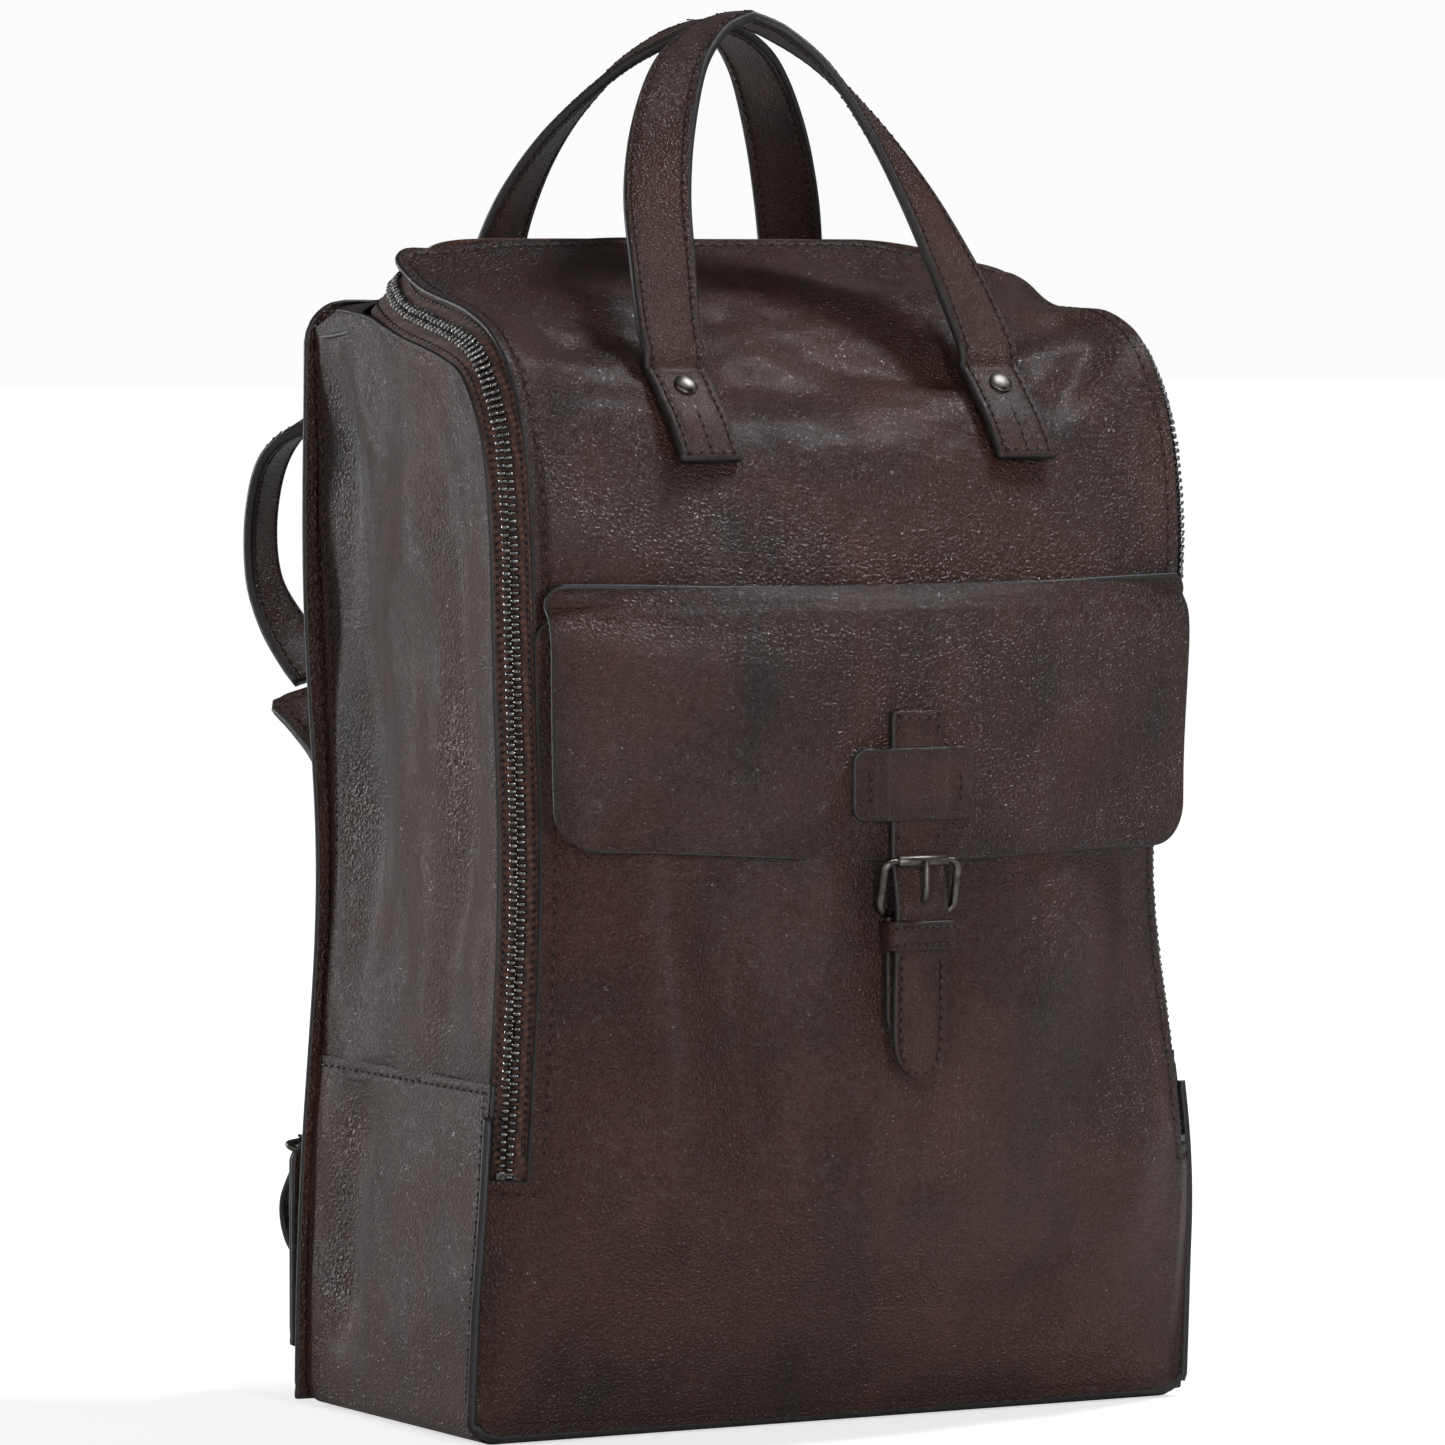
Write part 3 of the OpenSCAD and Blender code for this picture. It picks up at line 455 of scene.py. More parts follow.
def to_mesh(name, verts, faces, kinds, mats, seam=None):
    """A closed mesh from points in mm. Unused points are left out and faces point outwards."""
    verts = np.concatenate(verts) if isinstance(verts, list) else verts
    used = np.unique(np.concatenate([np.asarray(f).ravel() for f in faces]))
    number = np.full(len(verts), -1)
    number[used] = np.arange(len(used))
    p = warp(verts[used])
    me = bpy.data.meshes.new(name)
    flat = [row for f in faces for row in number[np.asarray(f)].tolist()]
    me.from_pydata((p * MM).tolist(), [], flat)
    for m in mats:
        me.materials.append(m)
    me.polygons.foreach_set("material_index", np.concatenate(
        [np.full(len(f), k) for f, k in zip(faces, kinds)]).astype(np.int32))
    me.polygons.foreach_set("use_smooth", np.ones(len(flat), bool))
    if seam is not None:
        values = me.attributes.new("seam", "FLOAT", "POINT").data
        values.foreach_set("value", seam[used].astype(np.float32))
    me.update()
    me.calc_loop_triangles()
    tri = np.zeros(len(me.loop_triangles) * 3, np.int32)
    me.loop_triangles.foreach_get("vertices", tri)
    a, b, c = (p[tri[k::3]] for k in range(3))
    if np.einsum("ij,ij->i", a, np.cross(b, c)).sum() < 0:
        me.flip_normals()
    return linked(name, me)


def leather_sheet(name, outer, inner, mats=None, keep=None, groove=None, steps=3):
    """A cut piece between two grids of points, rows going up and columns to the right as seen
    from outside. keep marks the cells that exist, and groove is a stitch line's inset and depth."""
    rows, cols = outer.shape[:2]
    n = rows * cols
    keep = np.ones((rows - 1, cols - 1), bool) if keep is None else keep
    i, j = np.nonzero(keep)
    a = i * cols + j
    quads = np.stack([a, a + 1, a + cols + 1, a + cols], 1)
    edges = np.concatenate([quads[:, [k, (k + 1) % 4]] for k in range(4)])
    rim = edges[~np.isin(edges[:, 0] * n + edges[:, 1], edges[:, 1] * n + edges[:, 0])]
    o, q = outer.reshape(-1, 3).copy(), inner.reshape(-1, 3)
    ring = np.unique(rim)
    near = np.full(n, 1e9)
    for k in range(0, n, 4000):
        d = o[k:k + 4000, None] - o[None, ring[::2]]
        near[k:k + 4000] = np.sqrt((d**2).sum(-1).min(1))
    up = unit(o - q)
    if groove:
        inset, depth = groove
        o -= up * (depth * np.exp(-((near - inset) / 1.2) ** 2))[:, None]
    away = np.zeros_like(o)
    e = unit(o[rim[:, 1]] - o[rim[:, 0]])
    for k in (0, 1):
        np.add.at(away, rim[:, k], np.cross(e, up[rim[:, k]]))
    away = unit(away)
    half = np.linalg.norm(o - q, axis=1) / 2
    number = np.full(n, -1)
    number[ring] = np.arange(len(ring))
    verts, layers, seam = [o, q], [ring], [np.exp(-near / 7), np.exp(-near / 7)]
    base = 2 * n
    for k in range(1, steps + 1):
        turn = math.pi * k / (steps + 1)
        verts.append((o + q)[ring] / 2 + (o - q)[ring] / 2 * math.cos(turn)
                     + away[ring] * half[ring, None] * EDGE_ROUND * math.sin(turn))
        seam.append(np.ones(len(ring)))
        layers.append(base + np.arange(len(ring)))
        base += len(ring)
    layers.append(ring + n)
    b, c = number[rim[:, 0]], number[rim[:, 1]]
    walls = [np.stack([layers[k][c], layers[k][b], layers[k + 1][b], layers[k + 1][c]], 1)
             for k in range(steps + 1)]
    return to_mesh(name, verts, [quads, quads[:, ::-1] + n] + walls, [0, 1] + [2] * len(walls),
                   mats or LEATHERS, np.concatenate(seam))


def strap_section(width, thick, inset=3.2, dip=0.28, crown=0.35):
    """Section of a doubled strap as across, out: crowned, pressed in along its stitch lines."""
    e = thick / 2
    a = np.linspace(-width / 2 + 0.7 * e, width / 2 - 0.7 * e, 23)
    pressed = dip * np.exp(-((np.abs(a) - (width / 2 - inset)) / 0.9) ** 2) if inset else 0
    lift = crown * (1 - (2 * a / width) ** 2) - pressed
    turn = np.radians(np.linspace(90, -90, 7)[1:-1])
    right = np.stack([width / 2 - 0.7 * e + 0.7 * e * np.cos(turn), e * np.sin(turn)], 1)
    top = np.stack([a, e + lift], 1)
    under = np.stack([a[::-1][::2], -e - 0.5 * lift[::-1][::2]], 1)
    left = np.stack([-right[::-1, 0], right[::-1, 1]], 1)
    section = np.concatenate([top, right, under, left])
    kinds = [0] * (len(top) - 1) + [2] * (len(right) + 1) + [0] * (len(under) - 1) + [2] * (len(left) + 1)
    return section, kinds


def round_section(radius, n=16):
    t = np.linspace(0, 2 * math.pi, n, endpoint=False)
    return np.stack([np.cos(t), np.sin(t)], 1) * radius, [0] * n


def frames(path, side):
    head = unit(np.gradient(path, axis=0))
    face = unit(np.cross(side, head))
    return unit(np.cross(head, face)), face


def sweep(name, path, side, section, mats, width=None, thick=None, closed=False):
    """A section carried along a path; side is its width direction at each point."""
    profile, kinds = section
    n, k = len(path), len(profile)
    if closed:
        wrapped = np.concatenate([path[-1:], path, path[:1]])
        head = unit(wrapped[2:] - wrapped[:-2])
        face = unit(np.cross(side, head))
        across = unit(np.cross(head, face))
    else:
        across, face = frames(path, side)
    w = np.ones(n) if width is None else width
    h = np.ones(n) if thick is None else thick
    p = (path[:, None] + across[:, None] * (profile[None, :, :1] * w[:, None, None])
         + face[:, None] * (profile[None, :, 1:] * h[:, None, None]))
    i = np.arange(n if closed else n - 1)[:, None]
    j = np.arange(k)[None]
    nxt, jn = (i + 1) % n, (j + 1) % k
    quads = np.stack([i * k + j, i * k + jn, nxt * k + jn, nxt * k + j], -1)
    faces, marks = [], []
    for kind in sorted(set(kinds)):
        chosen = [c for c in range(k) if kinds[c] == kind]
        faces.append(quads[:, chosen].reshape(-1, 4))
        marks.append(kind)
    if not closed:
        faces += [np.arange(k)[None, ::-1], ((n - 1) * k + np.arange(k))[None]]
        marks += [max(kinds)] * 2
    reach = np.abs(profile[:, 0]).max()
    near = np.tile(reach - np.abs(profile[:, 0]), n)
    return to_mesh(name, p.reshape(-1, 3), faces, marks, mats, np.exp(-near / 3.5))


def lathe(name, outline, place, axis, mats, n=40):
    """Turns an outline of radius, height about an axis; the first and last radius are 0."""
    axis = unit(np.asarray(axis, float))
    a = unit(np.cross(axis, [0.3, 0.9, 0.2]))
    b = np.cross(axis, a)
    t = np.linspace(0, 2 * math.pi, n, endpoint=False)
    ring = np.cos(t)[:, None] * a + np.sin(t)[:, None] * b
    mid = outline[1:-1]
    p = [np.asarray(place) + axis * outline[0][1], np.asarray(place) + axis * outline[-1][1]]
    verts = np.concatenate([np.array(p)] + [np.asarray(place) + ring * r + axis * h for r, h in mid])
    j = np.arange(n)
    faces = [np.stack([np.zeros(n, int), 2 + j, 2 + (j + 1) % n], 1)]
    for k in range(len(mid) - 1):
        s = 2 + k * n
        faces.append(np.stack([s + j, s + n + j, s + n + (j + 1) % n, s + (j + 1) % n], 1))
    s = 2 + (len(mid) - 1) * n
    faces.append(np.stack([s + j, np.ones(n, int), s + (j + 1) % n], 1))
    return to_mesh(name, verts, faces, [0] * len(faces), mats)


def join(name, parts):
    """Several meshes as one piece."""
    with bpy.context.temp_override(active_object=parts[0], selected_editable_objects=parts,
                                   selected_objects=parts):
        bpy.ops.object.join()
    parts[0].name = name
    return parts[0]


def place(piece, body, slot, *nodes):
    """Hides the CAD nodes a piece stands for, and hangs the piece on its body, or bakes its place into its
    mesh when body is a joint's tuple. slot is not used.
    """
    if nodes:
        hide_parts(*nodes)
    if isinstance(body, tuple):
        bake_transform(piece)
    else:
        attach(piece, body)
    return piece


# Joints that leather crosses: the two bodies and two points of each
SKIN = ("bag_body", "front_lid", (0, -0.12, 0.085), (0, -0.12, 0.130))
FLAP = ("front_lid", "flap", (0, -0.112, 0.312), (0, -0.119, 0.298))
GRIP_FRONT = ("front_lid", "front_handle", (0, -0.075, 0.378), (0, -0.058, 0.405))
GRIP_REAR = ("bag_body", "rear_handle", (0, 0.0713, 0.380), (0, 0.0713, 0.402))

stitches = {}


def stitch(group, line, out, pitch=4.0, sink=0.0):
    """Adds a row of stitches on a line of points, with the leather's outward direction at each."""
    line, out = np.asarray(line, float), np.broadcast_to(np.asarray(out, float), np.shape(line))
    gone = distance_along(line)
    count = max(1, int(gone[-1] / pitch))
    at = (np.arange(count) + 0.5) * gone[-1] / count
    share = np.interp(at, gone, np.arange(len(line)))
    p = pick(line, share)
    along = unit(pick(np.gradient(line, axis=0), share))
    o = unit(pick(out, share))
    along = unit(along - o * (along * o).sum(1, keepdims=True))
    stitches.setdefault(group, []).append((p - o * sink, along, o, np.full(count, pitch)))


def corner_share(left, radius, reach):
    """How much of its width a row keeps, so that a sheet's corners are round."""
    return 1 - corner_cut(left, radius) / reach


def stitch_edges(group, path, across, face, reach, rise, pitch=STRAP_PITCH):
    """Stitches both edges of a strap, on both of its faces."""
    for edge in (-1, 1):
        for out in (-1, 1):
            stitch(group, path + across * edge * reach + face * out * rise, face * out, pitch)


# ------------------------------------------------------------------ front and top
lid_v = 2.087
us = spread(-TRIM_U, TRIM_U, 130, size=PANEL_W)
lid_end = run_up(10) - 0.5
vs = v_at(spread(run_up(lid_v), lid_end, 150))
U, V = np.meshgrid(us, vs)
U = U * corner_share(lid_end - run_up(vs), 11, PANEL_W)[:, None]
panel = leather_sheet("panel_front_top", on_front(U, V), on_front(U, V, -LEATHER), groove=(4.2, 0.45))
place(panel, "front_lid", "leather", "front_panel")
edge_v = v_at(np.linspace(run_up(3.98), run_up(10) - 7, 160))
for side in (-1, 1):
    reach = TRIM_U * corner_share(lid_end - run_up(edge_v), 11, PANEL_W) - 4.2 / PANEL_W
    stitch("front_lid", on_front(side * reach, edge_v), front_normal(side * 0.9, edge_v), SEAM_PITCH)
top_u = np.linspace(-0.86, 0.86, 80)
stitch("front_lid", on_front(top_u, v_at(run_up(10) - 4.7)), front_normal(top_u, v_at(run_up(10) - 5)),
       SEAM_PITCH)

# Outer skin: to the side seams below the zip's foot, between the zips above it
us = np.unique(np.r_[spread(-0.995, 0.995, 40, size=150), spread(-TRIM_U, TRIM_U, 120, size=PANEL_W)])
us = us[np.r_[True, np.diff(us) > 0.0012]]
low = spread(run_up(0.02), run_up(1.99), 60)
high = spread(run_up(1.99), run_up(3.98), 110)
vs = v_at(np.unique(np.r_[low, high[1:]]))
foot = int(np.argmin(np.abs(vs - 1.99)))
U, V = np.meshgrid(us, vs)
keep = np.ones((len(vs) - 1, len(us) - 1), bool)
mid_u = (us[1:] + us[:-1]) / 2
keep[foot:, np.abs(mid_u) > TRIM_U] = False
U = U * corner_share(run_up(3.98) - run_up(vs), 9, 131)[:, None]
skin = leather_sheet("skin_front_pocket", on_pocket(U, V), on_pocket(U, V, -LEATHER), keep=keep,
                     groove=(4.2, 0.4))
place(skin, SKIN, "leather", "front_panel_lower", "pocket_panel")
side_v = v_at(np.linspace(run_up(2.12), run_up(3.92), 120))
for side in (-1, 1):
    stitch(SKIN, on_pocket(side * (TRIM_U - 4.2 / PANEL_W), side_v), front_normal(side * 0.9, side_v),
           SEAM_PITCH)
    foot_u = side * np.linspace(0.91, 0.985, 12)
    stitch(SKIN, on_pocket(foot_u, v_at(run_up(1.99) - 4)), front_normal(foot_u, 1.9), SEAM_PITCH)


# ------------------------------------------------------------------ sides
PANEL_LOW = 125
seam_vs = np.r_[2 + (PANEL_LOW - 97) / 103, np.linspace(2.6, 9.6, 60)]
seam_run = np.concatenate([spline(SEAM, seam_vs), [[30, 406.5], [40, 407.6], [48, 408]]])
along_seam = np.linspace(0, 1, len(seam_run))
back_run = np.stack([np.full(len(seam_run), HALF_D - 0.6),
                     PANEL_LOW + (400 - PANEL_LOW) * (1 - (1 - along_seam) ** 1.25)], 1)


def side_point(seam_yz, back_yz, t, side, inward):
    """Point of a side panel, t from the back seam to the front one."""
    yz = back_yz + (seam_yz - back_yz) * t[..., None]
    y, z = yz[..., 0], yz[..., 1]
    tall = smooth((400 - z) / 50) * smooth((z - 128) / 90)
    crease = (7.5 * np.exp(-((t - 0.25 - 0.05 * np.sin(z / 60)) / 0.14) ** 2) * tall
              - 1.6 * np.exp(-((t - 0.62 - 0.06 * np.sin(z / 75 + 1)) / 0.16) ** 2) * tall
              + 1.8 * np.exp(-((t - 0.82) / 0.07) ** 2) * tall * smooth((z - 150) / 60))
    ends = smooth(t / 0.08) * smooth((1 - t) / 0.1)
    roll = (waves(y * 1.3 + side * 40, z, 31, 90, 1.3)
            + creases(y, z, 33, 14, (-60, 50, 150, 340), 0.6, 5.0, (50, 130))) * ends
    x = half_width(z) - inward - crease * smooth((1 - t) / 0.03) + roll
    return np.stack([side * x, y, z], -1)


for side, label in ((-1, "left"), (1, "right")):
    ts = spread(0.02, 0.995, 60, size=130)[::-side]
    T = np.broadcast_to(ts[None], (len(seam_run), len(ts)))
    rows = [np.broadcast_to(run[:, None], T.shape + (2,)) for run in (seam_run, back_run)]
    outer, inner = side_point(*rows, T, side, 0), side_point(*rows, T, side, LEATHER)
    piece = leather_sheet("panel_side_" + label, outer, inner)
    place(piece, "bag_body", "leather", "side_panel_" + label)
    column = outer[:, int(np.argmin(np.abs(ts - 0.045)))]
    stitch("bag_body", column[:-3], [side, 0, 0], SEAM_PITCH)

# ------------------------------------------------------------------ base gusset
GUSSET_H = box_mm("base_gusset")[1][2]
R = 9.0
rise = np.linspace(GUSSET_H, R, 60)
rise = np.unique(np.r_[rise, GUSSET_H - np.array([0.5, 1, 2, 3, 4, 5, 6])])[::-1]
bend = np.radians(np.linspace(0, 90, 9)[1:])
PROUD = 0.4                               # of the sides, so that the gusset laps over them
w_low = half_width(R) + PROUD
run = mirrored(np.concatenate([
    np.stack([-half_width(rise) - PROUD, rise], 1),
    np.stack([-w_low + R * (1 - np.cos(bend)), R * (1 - np.sin(bend))], 1),
    np.stack([np.linspace(-w_low + R, 0, 40)[1:], np.zeros(39)], 1)]))
tangent = unit(np.gradient(run, axis=0))
inward = np.stack([-tangent[:, 1], tangent[:, 0]], 1)


def seam_v(z):
    """The side profile's v at height z, as far as the gusset goes."""
    return np.where(z < 45, (z - 3) / 42, np.where(z < 97, 1 + (z - 45) / 52, 2 + (z - 97) / 103))


front_y = spline(SEAM, np.maximum(seam_v(run[:, 1]), 0))[:, 0] - 1
ts = spread(0, 1, 40, size=130)
T = np.broadcast_to(ts[None], (len(run), len(ts)))
y = front_y[:, None] * (1 - T) + (HALF_D - PROUD) * T
z = run[:, 1:]
hollow = 5.5 * np.exp(-((T - 0.76 - 0.03 * np.sin(z / 30)) / 0.085) ** 2) * smooth((z - 14) / 30)
swell = ((waves(y, z + run[:, :1] * 0.3, 41, 80, 0.8) - hollow) * smooth(z / 40)
         * smooth((GUSSET_H - z) / 30) * smooth(T / 0.1) * smooth((1 - T) / 0.1))


def gusset_points(deep):
    p = run[:, None] + inward[:, None] * (deep - swell[..., None])
    return np.stack([p[..., 0], y, np.maximum(p[..., 1], 0)], -1)


piece = leather_sheet("base_gusset_skin", gusset_points(0)[:, ::-1], gusset_points(2.0)[:, ::-1],
                      groove=(3.6, 0.4))
place(piece, "bag_body", "leather", "base_gusset")
side_z = np.linspace(GUSSET_H - 3.6, 14, 60)
for side in (-1, 1):
    x = side * (half_width(side_z) + PROUD)
    line = xyz(x, spline(SEAM, seam_v(side_z))[:, 0] + 3.4, side_z)
    stitch("bag_body", line, [side, 0, 0], SEAM_PITCH)
    ys = np.linspace(line[0, 1], HALF_D - 4, 30)
    top = xyz(side * (half_width(GUSSET_H - 3.6) + PROUD), ys, GUSSET_H - 3.6)
    stitch("bag_body", top, [side, 0, 0], SEAM_PITCH)

# The raw, painted seam that stands out where the skin meets the gusset
v_up = v_at(np.linspace(run_up(2.25), run_up(0.12), 60))
left = front_plain(-1.0, v_up) + [-0.6, -1.6, 0]
corner = xyz(-149.5 + 9 * (1 - np.cos(bend)), -HALF_D - 1.2, 9.5 - 6.7 * np.sin(bend))
under = xyz(np.linspace(-139, 0, 40), -HALF_D - 1.4, 2.6)
_, path = even(mirrored(np.concatenate([left, corner, under])), 3.0)
outward = xyz(np.sign(path[:, 0]) * smooth((np.abs(path[:, 0]) - 120) / 26) * 0.75, -1, 0)
section = strap_section(4.6, 3.4, inset=0, crown=0.1)
piece = sweep("seam_raw_edge", path, outward, section, [EDGE_PAINT] * 3)
place(piece, "bag_body", "leather")

# ------------------------------------------------------------------ back
zs = spread(2.6, back_hi[2], 110)
R = 16.0
reach = half_width(np.minimum(zs, 400)) + 3 - corner_cut(back_hi[2] - zs, R)
cols = spread(-1, 1, 90, size=145)
X, Z = grid(cols, zs, reach)
inside = smooth((reach[:, None] - np.abs(X) - 6) / 30) * smooth((Z - 10) / 30) * smooth((405 - Z) / 30)
cushion = 2.5 * inside + waves(X, Z, 51, 90, 0.7) * inside
flange = np.sin(Z / 47 + 2) * smooth((np.abs(X) - reach[:, None] + 12) / 12)
OUT, IN = xyz(X, HALF_D + LEATHER + cushion + flange, Z), xyz(X, HALF_D + flange, Z)
piece = leather_sheet("panel_back", OUT[:, ::-1], IN[:, ::-1], [HIDE, HIDE, EDGE_PAINT], groove=(4.0, 0.45))
place(piece, "bag_body", "leather", "back_panel")
z_line = np.linspace(6, back_hi[2] - R, 80)
arc = np.radians(np.linspace(0, 90, 10))
x_top = half_width(400) + 3
path_x = np.r_[half_width(z_line) + 3 - 4, x_top - R + (R - 4) * np.cos(arc),
               np.linspace(x_top - R, 0, 30)[1:]]
path_z = np.r_[z_line, back_hi[2] - R + (R - 4) * np.sin(arc), np.full(29, back_hi[2] - 4)]
wavy = np.sin(path_z / 47 + 2) * smooth((path_x - x_top + 20) / 12) * 0.8
for side in (-1, 1):
    for y_at, out in ((HALF_D + LEATHER + 0.1, 1), (HALF_D - 0.05, -1)):
        stitch("bag_body", xyz(side * path_x, y_at + wavy, path_z), [0, out, 0], SEAM_PITCH)

# Strip of the body leather between the rear zip and the back seam
lo, hi = box_mm("top_rear_strip")
ys = spread(lo[1] - 0.5, hi[1], 18)
xs = spread(lo[0] - 5.5, hi[0] + 5.5, 110)
X, Y = np.meshgrid(xs, ys)
bent_down = 13 * (1 - np.sqrt(1 - np.clip((np.abs(X) - hi[0] + 12) / 17.6, 0, 1) ** 2))
Z = (np.interp(Y, [38, 52, 67], [412.6, 411.1, 410.4]) - bent_down
     + waves(X, Y, 61, 70, 0.6) * smooth((hi[0] - np.abs(X)) / 20))
piece = leather_sheet("strip_rear_top", xyz(X, Y, Z), xyz(X, Y, Z - 2), groove=(3.5, 0.35))
place(piece, "bag_body", "leather", "top_rear_strip")
xs = np.linspace(lo[0] + 12, hi[0] - 12, 60)
stitch("bag_body", xyz(xs, ys[0] + 3.5, 412.2), [0, 0, 1], SEAM_PITCH)

# ------------------------------------------------------------------ zip
slot_vs = np.r_[1.975, np.arange(2.5, 9.01, 0.5)]
PANEL_SIDE = np.concatenate([front_plain(-PANEL_SHARE, slot_vs), [
    [-131, 14, 423], [-121, 25, 431], [-106, 28.5, 434.5], [-70, 28.5, 435], [-35, 28.5, 435],
    [0, 28.5, 435]]])
SEAM_SIDE = np.concatenate([front_plain(-1.0, slot_vs), [
    [-144, 20, 405], [-139, 33, 409], [-122, 38.5, 413.5], [-76, 38.5, 413.5], [-37, 38.5, 413.5],
    [0, 38.5, 413.5]]])
SLOT_N = len(slot_vs) + 5


def slot(t, q):
    """Point of the zip: t from its left foot to its right one, q from -1, the lid's, to 1, the bag's."""
    t, q = np.broadcast_arrays(np.asarray(t, float), np.asarray(q, float))
    back = np.where(t <= SLOT_N, t, 2 * SLOT_N - t)
    mix = (0.5 + q / 2)[..., None]
    p = spline(PANEL_SIDE, back) * (1 - mix) + spline(SEAM_SIDE, back) * mix
    return p * np.where(t <= SLOT_N, 1, -1)[..., None] ** np.array([1, 0, 0])


def slot_normal(t):
    a = np.clip(t, 0.02, 2 * SLOT_N - 0.02)
    return unit(np.cross(slot(a, -1.0) - slot(a, 1.0), slot(a + 0.01, 0.0) - slot(a - 0.01, 0.0)))


ts, _ = even(slot(np.linspace(0, 2 * SLOT_N, 900), 0.0), 2.8)
ts = ts * 2 * SLOT_N / 899
spots = {}
for side, body, label, node in ((-1, "front_lid", "lid", "front"), (1, "bag_body", "bag", "rear")):
    qs = np.array([0.02, 0.08, 0.3, 0.45, 0.6, 0.8, 0.98])
    Q, T = np.meshgrid(qs * side, ts)
    parting = np.where(np.abs(T - SLOT_N) < 1.4, 0.2, 0.02)
    Q = side * np.maximum(np.abs(Q), parting)
    base = slot(T, Q)
    nrm = slot_normal(ts)[:, None]
    ridge = 0.25 * np.exp(-((np.abs(Q) - 0.45) / 0.1) ** 2)
    over = base + nrm * (-0.7 + ridge)[..., None]
    below = base + nrm * -1.5
    piece = leather_sheet("zip_tape_" + label, over[:, ::-side], below[:, ::-side], [TAPE] * 3, steps=1)
    place(piece, body, "zip_tape", "zip_tape_" + node)
    width = np.linalg.norm(slot(ts, 1.0) - slot(ts, -1.0), axis=1)
    fine = np.linspace(0, 2 * SLOT_N, 4000)
    share, _ = even(slot(fine, 0.0), 1.4)
    at = share * 2 * SLOT_N / 3999
    at = at[(0 if side < 0 else 1)::2]
    apart = np.where(np.abs(at - SLOT_N) < 1.4, 2.0, 0.0)
    wide = np.interp(at, ts, width)
    p = slot(at, side * (1.55 + apart) * 2 / wide)
    run_dir = unit(slot(np.minimum(at + 0.02, 2 * SLOT_N), 0.0) - slot(np.maximum(at - 0.02, 0), 0.0))
    nrm = slot_normal(at)
    spots[label] = (p + nrm * 0.35, run_dir, nrm, body, node)
    sewn = np.linspace(0.3, 2 * SLOT_N - 0.3, 500)
    nl = slot_normal(sewn)
    stitch(body, slot(sewn, side * 0.72) - nl * 0.6, nl, 3.0)

# ------------------------------------------------------------------ flap
DROP = [[-112, 0], [-119, 6], [-124, 15], [-125.6, 40], [-126, 70], [-126, 97]]
FLAP_FOLDS = [(-95, -80, 30, 26, 20, -2.2), (-60, -30, 26, 50, 10, 1.2), (86, -70, 34, 30, -18, -2.0),
              (60, -40, 20, 40, 0, 1.2), (120, -88, 16, 18, 0, 2.0), (-124, -90, 14, 16, 0, 1.8)]


def flap_plain(u, t):
    u, t = np.broadcast_arrays(np.asarray(u, float), np.asarray(t, float))
    p = spline(DROP, t)
    sweep_back = 24 * u**2 * np.where(t < 1, 0.62 + 0.38 * t, 1)
    x, down = u * FLAP_REACH, p[..., 1]
    calm = smooth((np.abs(x) - 26) / 26) * smooth(down / 30)
    wave = (hills(x, -down, FLAP_FOLDS) + waves(x, down, 71, 90, 0.8)) * calm
    sag = 2.5 * smooth(down / 97) * (x / FLAP_REACH) * -1 - 1.6 * np.cos(x / 40) * smooth(down / 97) ** 3
    return np.stack([x, p[..., 0] + sweep_back - wave, FLAP_TOP - down + sag * smooth(down / 97)], -1)


def flap_normal(u, t):
    h = 0.01
    return unit(np.cross(flap_plain(u + h, t) - flap_plain(u - h, t),
                         flap_plain(u, t - h) - flap_plain(u, t + h)))


drop_t = np.linspace(0, 5, 101)
ts = np.interp(spread(0, 104, 80), distance_along(spline(DROP, drop_t)), drop_t)[::-1]
down = spline(DROP, ts)[:, 1]
share = 1 - corner_cut(97 - down, 15.0) / FLAP_REACH - corner_cut(down, 5) / FLAP_REACH
us = spread(-1, 1, 130, size=FLAP_REACH)
U, T = us[None] * share[:, None], np.broadcast_to(ts[:, None], (len(ts), len(us)))
outer = flap_plain(U, T)
piece = leather_sheet("flap_skin", outer, outer - flap_normal(U, T) * LEATHER)
place(piece, FLAP, "leather", "pocket_flap")

# ------------------------------------------------------------------ flap strap
RUN = [[STRAP_FACE, 264], [STRAP_FACE, 240], [STRAP_FACE, 216], [STRAP_FACE - 0.2, 209], [-129.6, 201],
       [-131, 194], [-131, 186], [-130.2, 176], [-129.5, 160], [-129.3, 145], [-129.3, 136], [-129.3, 131]]
BILLET_W, BILLET_T = 22, 2.4
yz = spline(RUN, np.linspace(0, 11, 120))
_, path = even(xyz(0, yz[:, 0], yz[:, 1]), 1.1)
z = path[:, 2]
tip = np.clip((147 - z) / 16, 0, 1)
wide = np.where(z > 147, 1, np.sqrt(np.maximum(1 - tip**2.2, 0)) * 0.97 + 0.03)
upper = np.clip((z - 262) / 2, 0, 1)
wide = wide * (1 - 0.06 * upper**2)
side_dir = np.tile([1.0, 0, 0], (len(path), 1))
piece = sweep("strap_flap", path[::-1], side_dir, strap_section(BILLET_W, BILLET_T, 2.6, 0.25, 0.3),
              STRAPS, wide[::-1])
place(piece, "flap", "strap_leather", "flap_strap")
out_dir = np.array([0, -1, 0])
across, face = frames(path[::-1], side_dir)
across, face = across[::-1], face[::-1]


def beside(k, side, power=1):
    """The strap's stitch line at the points k."""
    offset = side * (BILLET_W / 2 - 2.6) * wide[k] ** power
    return path[k] + across[k] * offset[:, None] + face[k] * (BILLET_T / 2 + 0.05)


